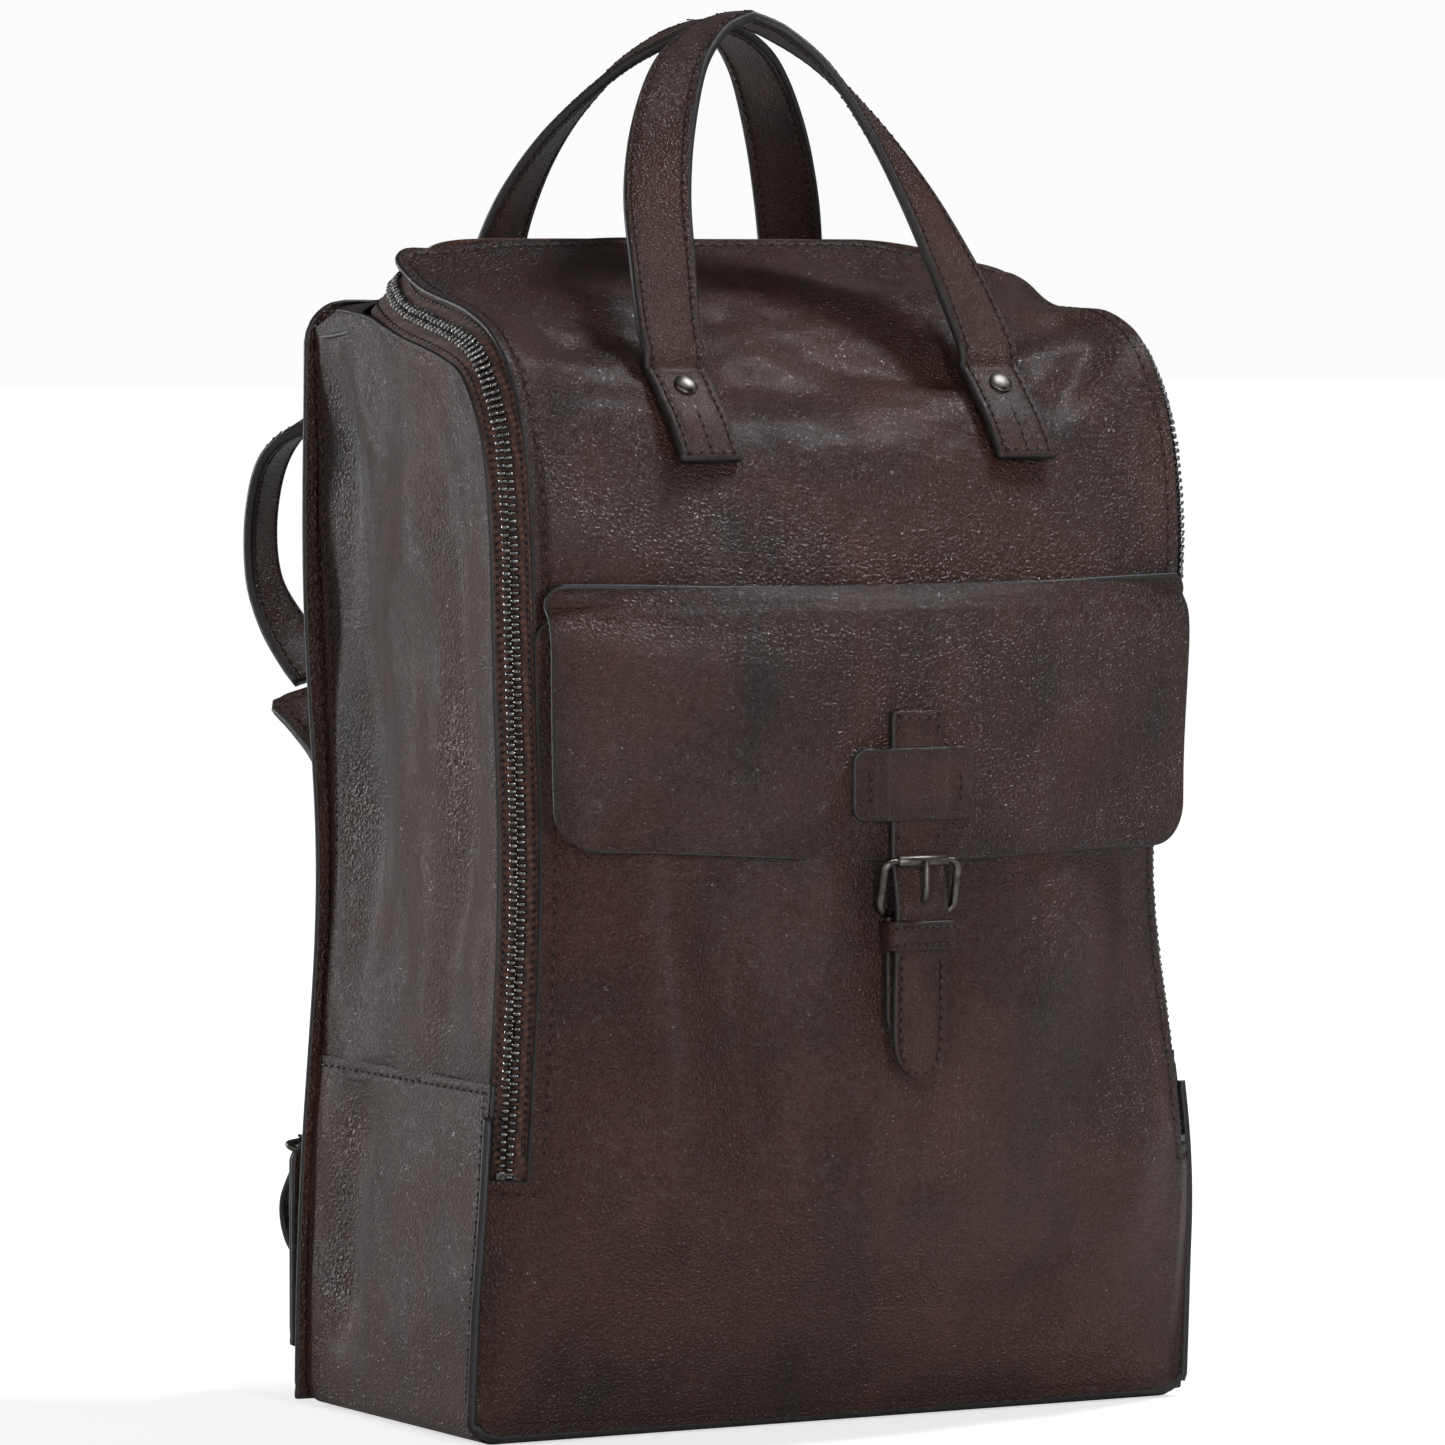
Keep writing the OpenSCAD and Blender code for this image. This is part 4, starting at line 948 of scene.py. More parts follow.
straight = [np.nonzero(part)[0] for part in ((z > 254) & (z < 263), (z < 221) & (z > 213))]
point = np.nonzero((z < 176) & (z > 131.5) & (wide > 0.45))[0]
for side in (-1, 1):
    for k in straight:
        stitch("flap", beside(k, side), out_dir, 3.6)
    if side < 0:
        round_point = np.concatenate([beside(point, -1, 1.25), beside(point, 1, 1.25)[::-1]])
        stitch("flap", round_point, out_dir, 3.6)
stitch("flap", xyz(np.linspace(-8, 8, 8), STRAP_FACE - BILLET_T / 2 - 0.2, 261.4), out_dir, 3.6)

# Cross tab: a band that bows over the strap
lo, hi = box_mm("flap_cross_tab")
tab_w, tab_h = hi[0] - lo[0], hi[2] - lo[2]
xs = spread(-tab_w / 2, tab_w / 2, 40)
zs = spread(lo[2], hi[2], 22)
shrink = 1 - corner_cut(tab_h / 2 - np.abs(zs - (lo[2] + hi[2]) / 2), 4.5) / (tab_w / 2)
X, Z = grid(xs, zs, shrink)
bow = -125.6 - 2.2 - 2.2 * (1 - smooth((np.abs(X) - 11) / 7)) + 0.0018 * X**2
piece = leather_sheet("tab_cross", xyz(X, bow, Z), xyz(X, bow + 2.0, Z), STRAPS, groove=(2.4, 0.1))
place(piece, "flap", "strap_leather", "flap_cross_tab")
for side in (-1, 1):
    stitch("flap", xyz(side * 19.0, -127.95 + 0.65, np.linspace(232, 243, 6)), out_dir, 3.6, sink=-0.1)

# Keeper: a closed loop of thin strap round the strap's two layers
lo, hi = box_mm("flap_keeper")
t = np.linspace(0, 2 * math.pi, 96, endpoint=False)
a, b = (hi[0] - lo[0]) / 2 - 0.8, (hi[1] - lo[1]) / 2 - 0.8
power = 0.32
path = xyz(a * np.sign(np.cos(t)) * np.abs(np.cos(t)) ** power,
           (lo[1] + hi[1]) / 2 + b * np.sign(np.sin(t)) * np.abs(np.sin(t)) ** power, (lo[2] + hi[2]) / 2)
_, path = even(np.r_[path, path[:1]], 1.1)
path = path[:-1]
piece = sweep("keeper_loop", path, np.tile([0, 0, 1.0], (len(path), 1)),
              strap_section(hi[2] - lo[2] - 0.4, 1.6, 2.2, 0.15, 0.15), STRAPS, closed=True)
place(piece, "flap", "strap_leather", "flap_keeper")
for zz in (lo[2] + 2.4, hi[2] - 2.4):
    stitch("flap", xyz(np.linspace(-a + 1.5, a - 1.5, 12), lo[1] - 0.05, zz), out_dir, 2.8)

# Chape: the short strap that holds the buckle's bar
lo, hi = box_mm("buckle_chape")
xs, zs = spread(lo[0], hi[0], 24), spread(lo[2], hi[2], 30)
shrink = 1 - corner_cut(zs - lo[2], 8.0) / (hi[0] - lo[0]) * 2
X, Z = grid(xs, zs, shrink)
mid_x, mid_z = (np.abs(X[1:, 1:] + X[:-1, :-1]) / 2), (Z[1:, 1:] + Z[:-1, :-1]) / 2
keep = ~((mid_x < 2.0) & (mid_z > hi[2] - 4.5))
piece = leather_sheet("chape_strap", xyz(X, lo[1], Z), xyz(X, hi[1], Z), STRAPS, keep=keep)
place(piece, "flap", "strap_leather", "buckle_chape")


# ------------------------------------------------------------------ buckle
def loop_path(corners, radius, n=8):
    """A closed line through corners, each rounded to a radius."""
    points = []
    c = np.asarray(corners, float)
    for k in range(len(c)):
        before, here, after = c[k - 1], c[k], c[(k + 1) % len(c)]
        a, b = here + unit(before - here) * radius, here + unit(after - here) * radius
        for f in np.linspace(0, 1, n):
            points.append((1 - f) ** 2 * a + 2 * f * (1 - f) * here + f * f * b)
    closed = np.array(points + points[:1])
    _, p = even(closed, 0.9)
    return p[:-1]


roller_lo, roller_hi = box_mm("buckle_roller")
roller = (roller_lo + roller_hi) / 2
frame_lo, frame_hi = box_mm("buckle_frame")
WIRE = 3.0
reach = frame_hi[0] - WIRE / 2
bar = np.array([0, frame_hi[1] - WIRE / 2, frame_lo[2] + WIRE / 2])
corners = [[-reach, bar[1], bar[2]], [reach, bar[1], bar[2]],
           [reach, roller[1], roller[2]], [-reach, roller[1], roller[2]]]
path = loop_path(corners, 4.5)
plane = unit(np.cross(np.array(corners[1]) - corners[0], np.array(corners[2]) - corners[1]))
# the two cross bars are thinner than the sides
thin = 1 - 0.32 * smooth((reach - 1.5 - np.abs(path[:, 0])) / 2.0)
piece = sweep("buckle_frame_cast", path, np.tile(plane, (len(path), 1)), round_section(WIRE / 2),
              [PEWTER], thin, thin, closed=True)
place(piece, "flap", "buckle_metal", "buckle_frame")
wall = [(0, -10.5), (1.15, -10.5), (1.75, -10.35), (2.0, -9.9), (2.0, 0), (2.0, 9.9), (1.75, 10.35),
        (1.15, 10.5), (0, 10.5)]
piece = lathe("roller_tube", wall, roller, (1, 0, 0), [PEWTER])
place(piece, "buckle_roller", "buckle_metal", "buckle_roller")
prong_path = spline([[0, bar[1] - 0.4, bar[2] - 1.9], [0, bar[1] - 2.0, bar[2] - 0.3],
                     [0, bar[1] - 2.6, bar[2] + 2.2], [0, -133.9, bar[2] + 6.5],
                     [0, roller[1] - 3.2, roller[2] - 5], [0, roller[1] - 3.25, roller[2] + 0.4]],
                    np.linspace(0, 5, 50))
fat = 1 - 0.25 * np.linspace(0, 1, 50) ** 2
fat[-3:] *= [0.9, 0.7, 0.35]
piece = sweep("prong_wire", prong_path, np.tile([1.0, 0, 0], (50, 1)), round_section(1.15, 14),
              [PEWTER], fat * 1.1, fat)
place(piece, "buckle_prong", "buckle_metal", "buckle_prong")


# ------------------------------------------------------------------ rivets
def rivet(name, p, n):
    r, h = RIVET_R, 1.7
    dome = [(0, h)] + [(r * math.sin(a), 0.5 + (h - 0.5) * math.cos(a))
                       for a in np.radians([18, 36, 54, 72, 86])]
    dome += [(r, 0.3), (r - 0.2, 0.0), (0, 0)]
    return lathe(name, dome, p, n, [PEWTER], 36)


# ------------------------------------------------------------------ carry handles
TOP = 519
FRONT_LEG = [[-HANDLE_X, -65.5, 393], [-HANDLE_X + 1, -60, 403], [-61, -48, 425], [-55, -33, 450],
             [-45, -19, 475], [-31, -6, 498], [-15, 2.5, TOP - 7.5], [0, 5, TOP - 1.8]]
REAR_LEG = [[-HANDLE_X, 73.3, 388.5], [-HANDLE_X + 0.5, 74, 402], [-64, 77, 425], [-58, 71, 450],
            [-47, 60, 475], [-31, 45, 497], [-15, 33.5, TOP - 9.5], [0, 30.7, TOP - 4]]
TURN = [0, 4, 14, 28, 46, 66, 82, 90]


def handle(name, tab, leg, facing, where, *nodes):
    """A doubled strap from one square end over the top to the other; where is the joint it crosses, under
    which its stitches are grouped and it is placed.
    """
    legs = [*tab, *leg]
    turns = np.r_[np.zeros(len(tab)), TURN]
    t = np.linspace(0, len(legs) - 1, 150)
    half, turn = spline(legs, t), np.interp(t, np.arange(len(legs)), turns)
    path = mirrored(half)
    turn = np.r_[turn, 180 - turn[-2::-1]]
    share, path = even(path, 2.2)
    angle = np.radians(np.interp(share, np.arange(len(turn)), turn))
    side = np.stack([facing * np.cos(angle), -np.sin(angle), 0 * angle], 1)
    section = strap_section(HANDLE_W, STRAP_T, EDGE_INSET, 0.3, 0.35)
    piece = sweep(name, path, side, section, STRAPS)
    across, face = frames(path, side)
    stitch_edges(where, path[1:-1], across[1:-1], face[1:-1], HANDLE_W / 2 - EDGE_INSET,
                 STRAP_T / 2 + 0.06)
    gone = distance_along(path)
    for ends in (slice(0, None), slice(None, None, -1)):
        p, a, f = path[ends], across[ends], face[ends]
        k = (gone > 2.6) & (gone < 24)
        stitch(where, p[k] + f[k] * (STRAP_T / 2 + 0.3), f[k], STRAP_PITCH)
        c = np.linspace(-HANDLE_W / 2 + EDGE_INSET, HANDLE_W / 2 - EDGE_INSET, 12)[:, None]
        stitch(where, p[1] + a[1] * c + f[1] * (STRAP_T / 2 + 0.2), f[1], STRAP_PITCH)
    place(piece, where, "strap_leather", *nodes)
    spot = int(np.argmin(np.abs(gone - RIVET_UP)))
    return [rivet("rivet", p[spot] + f[spot] * (STRAP_T / 2 + 0.35), f[spot])
            for p, f in ((path, face), (path[::-1], face[::-1]))]


RIVET_UP = 33    # from a handle's square end to its rivet
tab_v = np.array([5.58, 5.9, 6.2, 6.5, 6.8, 7.02])
tab = on_front(u_at(-HANDLE_X, tab_v), tab_v, LIFT + STRAP_T / 2 + 0.4, fold=0.5)
tab[:, 0] = -HANDLE_X
caps = handle("handle_front", tab, FRONT_LEG, 1, GRIP_FRONT, "front_handle", "front_handle_tabs")
place(join("rivets_front", caps), "front_lid", "buckle_metal", "front_handle_rivets")
tab = [[-HANDLE_X, 73.3, z] for z in (350, 362, 374)]
caps = handle("handle_rear", tab, REAR_LEG, -1, GRIP_REAR, "rear_handle", "rear_handle_tabs")
place(join("rivets_rear", caps), "bag_body", "buckle_metal", "rear_handle_rivets")

# ------------------------------------------------------------------ shoulder straps
UPPER = [[-38, 74.4, 348], [-51, 75.6, 350], [-66, 82, 356], [-82, 94, 364], [-97, 111, 368],
         [-110, 134, 367], [-120, 150, 354], [-123, 158, 332], [-123, 157, 307], [-119, 149, 289],
         [-114, 139, 276], [-111, 132.5, 269.5]]
UPPER_SIDE = [[0, 0, 1], [0, 0, 1], [0, 0, 1], [0.1, 0.1, 1], [0.4, 0.3, 0.8], [0.7, 0.5, 0.4],
              [0.76, 0.62, 0.1], [0.76, 0.65, 0], [0.8, 0.6, 0], [0.9, 0.4, 0.1], [0.93, 0.25, 0.25],
              [0.93, 0.19, 0.31]]
PAD = [[-112, 131, 266], [-108, 114, 255], [-104, 97, 239], [-102, 85, 215], [-102, 79, 180], [-104, 78, 140]]
PAD_SIDE = [[0.93, 0.19, 0.31], [0.97, 0.1, 0.2], [1, 0, 0.08], [1, 0, 0], [1, 0, 0], [1, 0, 0]]
LOWER = [[-104, 78, 137], [-106, 80, 126], [-113, 87, 115], [-123, 95, 105], [-129, 100.5, 93],
         [-132, 109, 81], [-133, 114, 69], [-132, 110, 56], [-128, 101, 47]]
LOWER_SIDE = [[1, 0, 0], [1, 0, 0], [0.95, 0.3, 0], [0.8, 0.6, 0]] + [[0.77, 0.64, 0]] * 5


def routed(points, sides, step, mirror):
    """A strap's even path and its width direction, on the left or, mirrored, on the right."""
    n = len(points) - 1
    t = np.linspace(0, n, 200)
    path, side = spline(points, t), spline(sides, t)
    share, path = even(path, step)
    side = pick(side, share)
    if mirror > 0:
        path, side = path * [-1, 1, 1], side * [-1, 1, 1]
    return path, side


def stuffed(o, cap):
    """Swells a closed mesh as cloth round foam, no point by more than cap in metres."""
    me = o.data.copy()
    p0 = np.zeros(len(me.vertices) * 3)
    me.vertices.foreach_get("co", p0)
    work = linked("cloth_work", me)
    m = work.modifiers.new("cloth", "CLOTH")
    m.settings.use_pressure = True
    m.settings.uniform_pressure_force = 3
    m.settings.tension_stiffness = 40
    m.settings.compression_stiffness = 40
    m.settings.bending_stiffness = 8
    m.settings.effector_weights.gravity = 0
    m.point_cache.frame_start, m.point_cache.frame_end = 1, 14
    for f in range(1, 15):
        bpy.context.scene.frame_set(f)
    dg = bpy.context.evaluated_depsgraph_get()
    done = bpy.data.meshes.new_from_object(work.evaluated_get(dg))
    p1 = np.zeros(len(done.vertices) * 3)
    done.vertices.foreach_get("co", p1)
    move = (p1 - p0).reshape(-1, 3)
    far = np.linalg.norm(move, axis=1, keepdims=True)
    move *= np.minimum(1, cap / np.maximum(far, 1e-9))
    o.data.vertices.foreach_set("co", (p0.reshape(-1, 3) + move).ravel())
    o.data.update()
    bpy.data.objects.remove(work)
    bpy.context.scene.frame_set(1)


for mirror, label in ((-1, "left"), (1, "right")):
    path, side = routed(UPPER, UPPER_SIDE, 2.5, mirror)
    section = strap_section(25, 4.2, EDGE_INSET, 0.3, 0.4)
    piece = sweep("strap_upper_" + label, path, side, section, STRAPS)
    place(piece, "bag_body", "strap_leather", "upper_strap_" + label)
    stitch_edges("bag_body", path, *frames(path, side), 9.3, 2.2)

    path, side = routed(PAD, PAD_SIDE, 3.0, mirror)
    gone = distance_along(path)
    length = gone[-1]
    end = np.minimum(gone, length - gone)
    wide = 1 - 0.22 * (1 - smooth(end / 9)) ** 2
    taper = 1 - smooth((gone - length + 26) / 26) * 0.45
    full = 0.42 + 0.58 * smooth(end / 12)
    a = np.linspace(-1, 1, 29)
    lift = (4.3 * (0.4 + 0.6 * smooth((1 - np.abs(a)) * 55 / 2 / 9))
            - 0.5 * np.exp(-((np.abs(a) - 0.84) / 0.03) ** 2))
    top = np.stack([a * 27.0, lift], 1)
    section = np.concatenate([top, [[27.5, 0.8], [27.5, -0.8]], top[::-1] * [1, -1],
                              [[-27.5, -0.8], [-27.5, 0.8]]])
    kinds = [0] * 28 + [2] * 3 + [0] * 28 + [2] * 3
    piece = sweep("pad_shoulder_" + label, path, side, (section, kinds), [PAD_HIDE, PAD_HIDE, EDGE_PAINT],
                  wide * taper, full)
    stuffed(piece, 0.0012)
    place(piece, "bag_body", "leather", "shoulder_pad_" + label)
    across, face = frames(path, side)
    inner = slice(2, -2)
    stitch_edges("bag_body", path[inner], across[inner], face[inner], 22.7 * (wide * taper)[inner, None],
                 (2.7 * full)[inner, None], 4.5)
    for out in (-1, 1):
        c = np.linspace(-20, 20, 16)[:, None]
        stitch("bag_body", path[2] + across[2] * c * 1.05 + face[2] * out * 2.9, face[2] * out, 4.5)

    path, side = routed(LOWER, LOWER_SIDE, 2.0, mirror)
    piece = sweep("strap_lower_" + label, path, side, strap_section(18, 2.6, 2.6, 0.2, 0.25), STRAPS)
    place(piece, "bag_body", "strap_leather", "lower_strap_" + label)
    stitch_edges("bag_body", path, *frames(path, side), 6.4, 1.4)

# Yoke that holds both straps to the back
lo, hi = box_mm("strap_yoke")
xs, zs = spread(lo[0], hi[0], 40), spread(lo[2], hi[2], 26)
shrink = 1 - corner_cut((hi[2] - lo[2]) / 2 - np.abs(zs - (lo[2] + hi[2]) / 2), 8.0) / hi[0]
X, Z = grid(xs, zs, shrink)
yoke_face = hi[1] + 5.6
OUT, IN = xyz(X, yoke_face, Z), xyz(X, hi[1] + 3.2, Z)
piece = leather_sheet("yoke_patch", OUT[:, ::-1], IN[:, ::-1], STRAPS, groove=(3.5, 0.35))
place(piece, "bag_body", "strap_leather", "strap_yoke")
for zz in (lo[2] + 3.5, hi[2] - 3.5):
    line = xyz(np.linspace(lo[0] + 6, hi[0] - 6, 30), yoke_face, zz)
    stitch("bag_body", line, [0, 1, 0], STRAP_PITCH)
for xx in (lo[0] + 3.5, hi[0] - 3.5):
    line = xyz(xx, yoke_face, np.linspace(lo[2] + 7, hi[2] - 7, 20))
    stitch("bag_body", line, [0, 1, 0], STRAP_PITCH)

# ------------------------------------------------------------------ lower anchors and buckles
BUCKLE_AT = np.array([-129, 100, 91.0])
bar_turn, tilt = math.radians(40), math.radians(24)
local = np.array(Matrix.Rotation(bar_turn, 3, "Z") @ Matrix.Rotation(tilt, 3, "X"))
for mirror, label in ((-1, "left"), (1, "right")):
    flip = np.array([-mirror, 1, 1])

    def at_buckle(p):
        return (np.asarray(p, float) @ local.T + BUCKLE_AT) * flip

    corners = [at_buckle(c) for c in ([-12, -8, 0], [12, -8, 0], [12, 8, 0], [-12, 8, 0])]
    path = loop_path(corners, 3.5)
    plane = (local @ np.array([0, 0, 1])) * flip
    piece = sweep("buckle_strap_" + label, path, np.tile(plane, (len(path), 1)), round_section(1.4),
                  [PEWTER], closed=True)
    place(piece, "bag_body", "buckle_metal", "strap_buckle_" + label)

    prong = at_buckle([[0, -9.2, -1.4], [0, -10.3, 0.6], [0, -8.6, 2.1], [0, -4, 2.3], [0, 4, 2.2],
                       [0, 9.2, 2.1]])
    bar_dir = (local @ np.array([1, 0, 0])) * flip
    slim = 1 - 0.3 * np.linspace(0, 1, 40) ** 3
    piece = sweep("prong_strap_" + label, spline(prong, np.linspace(0, 5, 40)), np.tile(bar_dir, (40, 1)),
                  round_section(0.9, 12), [PEWTER], slim, slim)
    place(piece, "strap_prong_" + label, "buckle_metal", "strap_prong_" + label)

    # anchor: two layers sewn flat to the back's edge, with a tongue round the buckle's bar
    lo, hi = np.array([-152, HALF_D + LEATHER + 0.4 + 2.5, 22]), np.array([-126, 0, 101])
    zs = spread(lo[2], hi[2], 40)
    xs = spread(lo[0], hi[0], 18)
    cut = np.clip(zs - (hi[2] - 9), 0, 9) / 9
    X = xs[None] + cut[:, None] * 0.45 * (hi[0] - 6 - xs[None]) * (xs[None] < hi[0])
    Z = np.broadcast_to(zs[:, None], X.shape)
    parts = []
    for k, (deep, grow) in enumerate(((0, 0), (2.6, 0.6))):
        OUT = xyz(X + grow, lo[1] + deep + 2.4, Z) * flip
        IN = xyz(X + grow, lo[1] + deep, Z) * flip
        if mirror < 0:
            OUT, IN = OUT[:, ::-1], IN[:, ::-1]
        parts.append(leather_sheet("anchor_layer", OUT, IN, STRAPS, groove=(3.0, 0.3)))
    tongue = spline([[0, -26, -6.5], [0, -18, -4.2], [0, -12, -3.4], [0, -9.0, -3.3], [0, -5.6, -1.4],
                     [0, -5.2, 1.0], [0, -7.4, 3.1], [0, -10.4, 2.2], [0, -13, -0.6], [0, -20, -2.0],
                     [0, -26, -4.2]], np.linspace(0, 10, 70))
    parts.append(sweep("anchor_tongue", at_buckle(tongue), np.tile(bar_dir, (70, 1)),
                       strap_section(16, 1.6, 2.2, 0.12, 0.15), STRAPS))
    piece = join("anchor_strap_" + label, parts)
    place(piece, "bag_body", "strap_leather", "strap_anchor_" + label)
    y_out = lo[1] + 5.1
    rows = [xyz(x_at, y_out, np.linspace(26, 92, 30)) for x_at in (-148.5, -129.5)]
    rows.append(xyz(np.linspace(-147, -131, 8), y_out, 25.5))
    for line in rows:
        stitch("bag_body", line * flip, [0, 1, 0], STRAP_PITCH)


# ------------------------------------------------------------------ linings and padding
def lining(name, points, thick, body, node):
    """One sheet of cloth on a grid of points, thick to the inside."""
    du, dv = np.gradient(points, axis=1), np.gradient(points, axis=0)
    nrm = unit(np.cross(du, dv))
    piece = leather_sheet(name, points, points - nrm * thick, [LINING] * 3, steps=1)
    place(piece, body, "lining", *node)
    return piece


lo, hi = box_mm("main_lining")
zs = spread(lo[2], hi[2], 60)
reach = half_width(zs) - 13 - corner_cut(hi[2] - zs, 14.0)
cols = np.linspace(-1, 1, 50)
X, Z = grid(cols, zs, reach)
Y = hi[1] - 0.2 - 0.4 * np.abs(np.sin(X / 21) * np.sin(Z / 33))
lining("lining_back", xyz(X, Y, Z), 0.8, "bag_body", ("main_lining",))
ring = np.concatenate([np.stack([reach, zs], 1), np.stack([-reach, zs], 1)[::-1]])
ring = np.concatenate([[[0, lo[2]]], ring, [[0, lo[2]]]])
_, line = even(xyz(ring[:, 0], 0, ring[:, 1]), 6.0)
ys = np.linspace(lo[1], hi[1] - 1.4, 14)
points = np.repeat(line[:, None], len(ys), 1)
points[..., 1] = ys[None]
slack = 0.9 * np.sin(np.arange(len(line)) * 0.9)[:, None] * smooth((ys - lo[1]) / 20)[None]
middle = np.array([0, 0, 195])
inw = unit((middle - line) * [1, 0, 1])
points = points + inw[:, None] * np.abs(slack)[..., None]
lining("lining_band", points, 0.8, "bag_body", ())

lo, hi = box_mm("laptop_sleeve")
zs, xs = np.linspace(lo[2], hi[2], 40), np.linspace(lo[0], hi[0], 50)
X, Z = np.meshgrid(xs, zs)
close = smooth((np.abs(X) - hi[0] + 16) / 16)
Y = lo[1] + 0.3 + (hi[1] - lo[1] - 1.2) * close - 1.2 * np.exp(-(Z - hi[2]) ** 2 / 300) * (1 - close)
lining("sleeve_laptop", xyz(X, Y, Z), 1.2, "bag_body", ("laptop_sleeve",))

us, vv = np.linspace(-0.87, 0.87, 50), v_at(np.linspace(run_up(2.25), run_up(9.4), 70))
U, V = np.meshgrid(us, vv)
loose = 0.8 * np.sin(U * 24 + V * 1.5) * smooth((0.87 - np.abs(U)) / 0.2)
points = front_plain(U, V) + front_normal(U, V) * (-LEATHER - 5.2 + loose)[..., None]
lining("lining_lid", points, 0.8, "front_lid", ("lid_lining",))

lo, hi = box_mm("back_padding")
zs, cols = spread(lo[2], hi[2], 40), spread(-1, 1, 40, size=128)
reach = half_width(zs) - 14 - corner_cut(hi[2] - zs, 12)
X, Z = grid(cols, zs, reach)
piece = leather_sheet("foam_back", xyz(X, hi[1] - 0.4, Z)[:, ::-1], xyz(X, lo[1] + 0.4, Z)[:, ::-1],
                      [FOAM] * 3)
place(piece, "bag_body", "padding", "back_padding")


# ------------------------------------------------------------------ what repeats: stitches and teeth
def repeat_tree(name, build):
    """A node tree that puts a shape on every point, turned by the points' own directions."""
    tree = bpy.data.node_groups.new(name, "GeometryNodeTree")
    face = tree.interface
    face.new_socket("Points", in_out="INPUT", socket_type="NodeSocketGeometry")
    keys = {}
    for label, value in (("Length", 3.0), ("Width", 0.8), ("Height", 0.5), ("Turn", 0.0)):
        s = face.new_socket(label, in_out="INPUT", socket_type="NodeSocketFloat")
        s.default_value = value
        keys[label] = s.identifier
    s = face.new_socket("Seed", in_out="INPUT", socket_type="NodeSocketInt")
    keys["Seed"] = s.identifier
    s = face.new_socket("Finish", in_out="INPUT", socket_type="NodeSocketMaterial")
    keys["Finish"] = s.identifier
    face.new_socket("Geometry", in_out="OUTPUT", socket_type="NodeSocketGeometry")
    given = add(tree, "NodeGroupInput").outputs
    size = add(tree, "ShaderNodeCombineXYZ", X=given["Length"], Y=given["Width"],
               Z=given["Height"]).outputs[0]
    shape = build(tree, size)
    along, out = (add(tree, "GeometryNodeInputNamedAttribute", {"data_type": "FLOAT_VECTOR"},
                      Name=label).outputs[0] for label in ("along", "out"))
    turn = add(tree, "FunctionNodeAxesToRotation", {"primary_axis": "Z", "secondary_axis": "X"},
               Primary_Axis=out, Secondary_Axis=along).outputs[0]
    spin = add(tree, "ShaderNodeCombineXYZ", Z=given["Turn"]).outputs[0]
    slant = add(tree, "FunctionNodeEulerToRotation", Euler=spin).outputs[0]
    turned = add(tree, "FunctionNodeRotateRotation", {"rotation_space": "LOCAL"},
                 Rotation=turn, Rotate_By=slant).outputs[0]
    vary = add(tree, "FunctionNodeRandomValue", {"data_type": "FLOAT_VECTOR"}, _0=(0.88, 0.88, 0.85),
               _1=(1.06, 1.1, 1.1), Seed=given["Seed"]).outputs[0]
    placed = add(tree, "GeometryNodeInstanceOnPoints", Points=given["Points"], Instance=shape,
                 Rotation=turned, Scale=vary).outputs[0]
    real = add(tree, "GeometryNodeRealizeInstances", Geometry=placed).outputs[0]
    done = add(tree, "GeometryNodeSetMaterial", Geometry=real, Material=given["Finish"]).outputs[0]
    add(tree, "NodeGroupOutput", Geometry=done)
    return tree, keys


def bead(tree, size):
    """A thread's stitch, or the shadow of a needle hole."""
    ball = add(tree, "GeometryNodeMeshUVSphere", Segments=8, Rings=5, Radius=0.5).outputs[0]
    return add(tree, "GeometryNodeTransform", Geometry=ball, Scale=size).outputs[0]


def tooth(tree, size):
    """A zip tooth with eased edges."""
    block = add(tree, "GeometryNodeMeshCube", Size=size).outputs[0]
    return add(tree, "GeometryNodeSubdivisionSurface", Mesh=block, Level=1, Edge_Crease=0.55).outputs[0]


BEADS = repeat_tree("bead_on_points", bead)
TEETH = repeat_tree("tooth_on_points", tooth)


def scatter(name, kind, p, along, out, sizes, turn, seed, finish):
    """A mesh of beads or teeth on points, from a repeat tree."""
    tree, keys = kind
    me = bpy.data.meshes.new(name + "_points")
    me.from_pydata((warp(p) * MM).tolist(), [], [])
    for label, value in (("along", along), ("out", out)):
        given = me.attributes.new(label, "FLOAT_VECTOR", "POINT").data
        given.foreach_set("vector", np.ascontiguousarray(value, np.float32).ravel())
    carrier = linked(name + "_points", me)
    mod = carrier.modifiers.new("repeat", "NODES")
    mod.node_group = tree
    for label, value in zip(("Length", "Width", "Height"), sizes):
        mod[keys[label]] = value * MM
    mod[keys["Turn"]] = turn
    mod[keys["Seed"]] = seed
    mod[keys["Finish"]] = finish
    bpy.context.view_layer.update()
    dg = bpy.context.evaluated_depsgraph_get()
    plain = bpy.data.meshes.new_from_object(carrier.evaluated_get(dg), depsgraph=dg)
    bpy.data.objects.remove(carrier)
    plain.name = name
    plain.polygons.foreach_set("use_smooth", np.ones(len(plain.polygons), bool))
    return linked(name, plain)


def with_last(rows):
    """The rows again, with the last one twice."""
    return np.concatenate([rows, rows[-1:]])


names = {SKIN: "skin", GRIP_FRONT: "handle_front", GRIP_REAR: "handle_rear"}
for group, rows in stitches.items():
    label = names.get(group, group)
    p, along, out, pitch = (np.concatenate([r[k] for r in rows]) for k in range(4))
    thread = scatter("thread_" + label, BEADS, p + out * 0.12, along, out, (3.0, 0.75, 0.5), 0.12, 3, THREAD)
    # Painted shadow of the needle holes: dark flat beads at both ends of each stitch
    ends = np.concatenate([p - along * pitch[:, None] / 2, p[-1:] + along[-1:] * pitch[-1:, None] / 2])
    hole_shadows = scatter("needle_holes_" + label, BEADS, ends + with_last(out) * 0.16, with_last(along),
                    with_last(out), (1.6, 1.25, 0.55), 0.0, 4, HOLE_SHADOW)
    for piece in (thread, hole_shadows):
        place(piece, group, "leather")

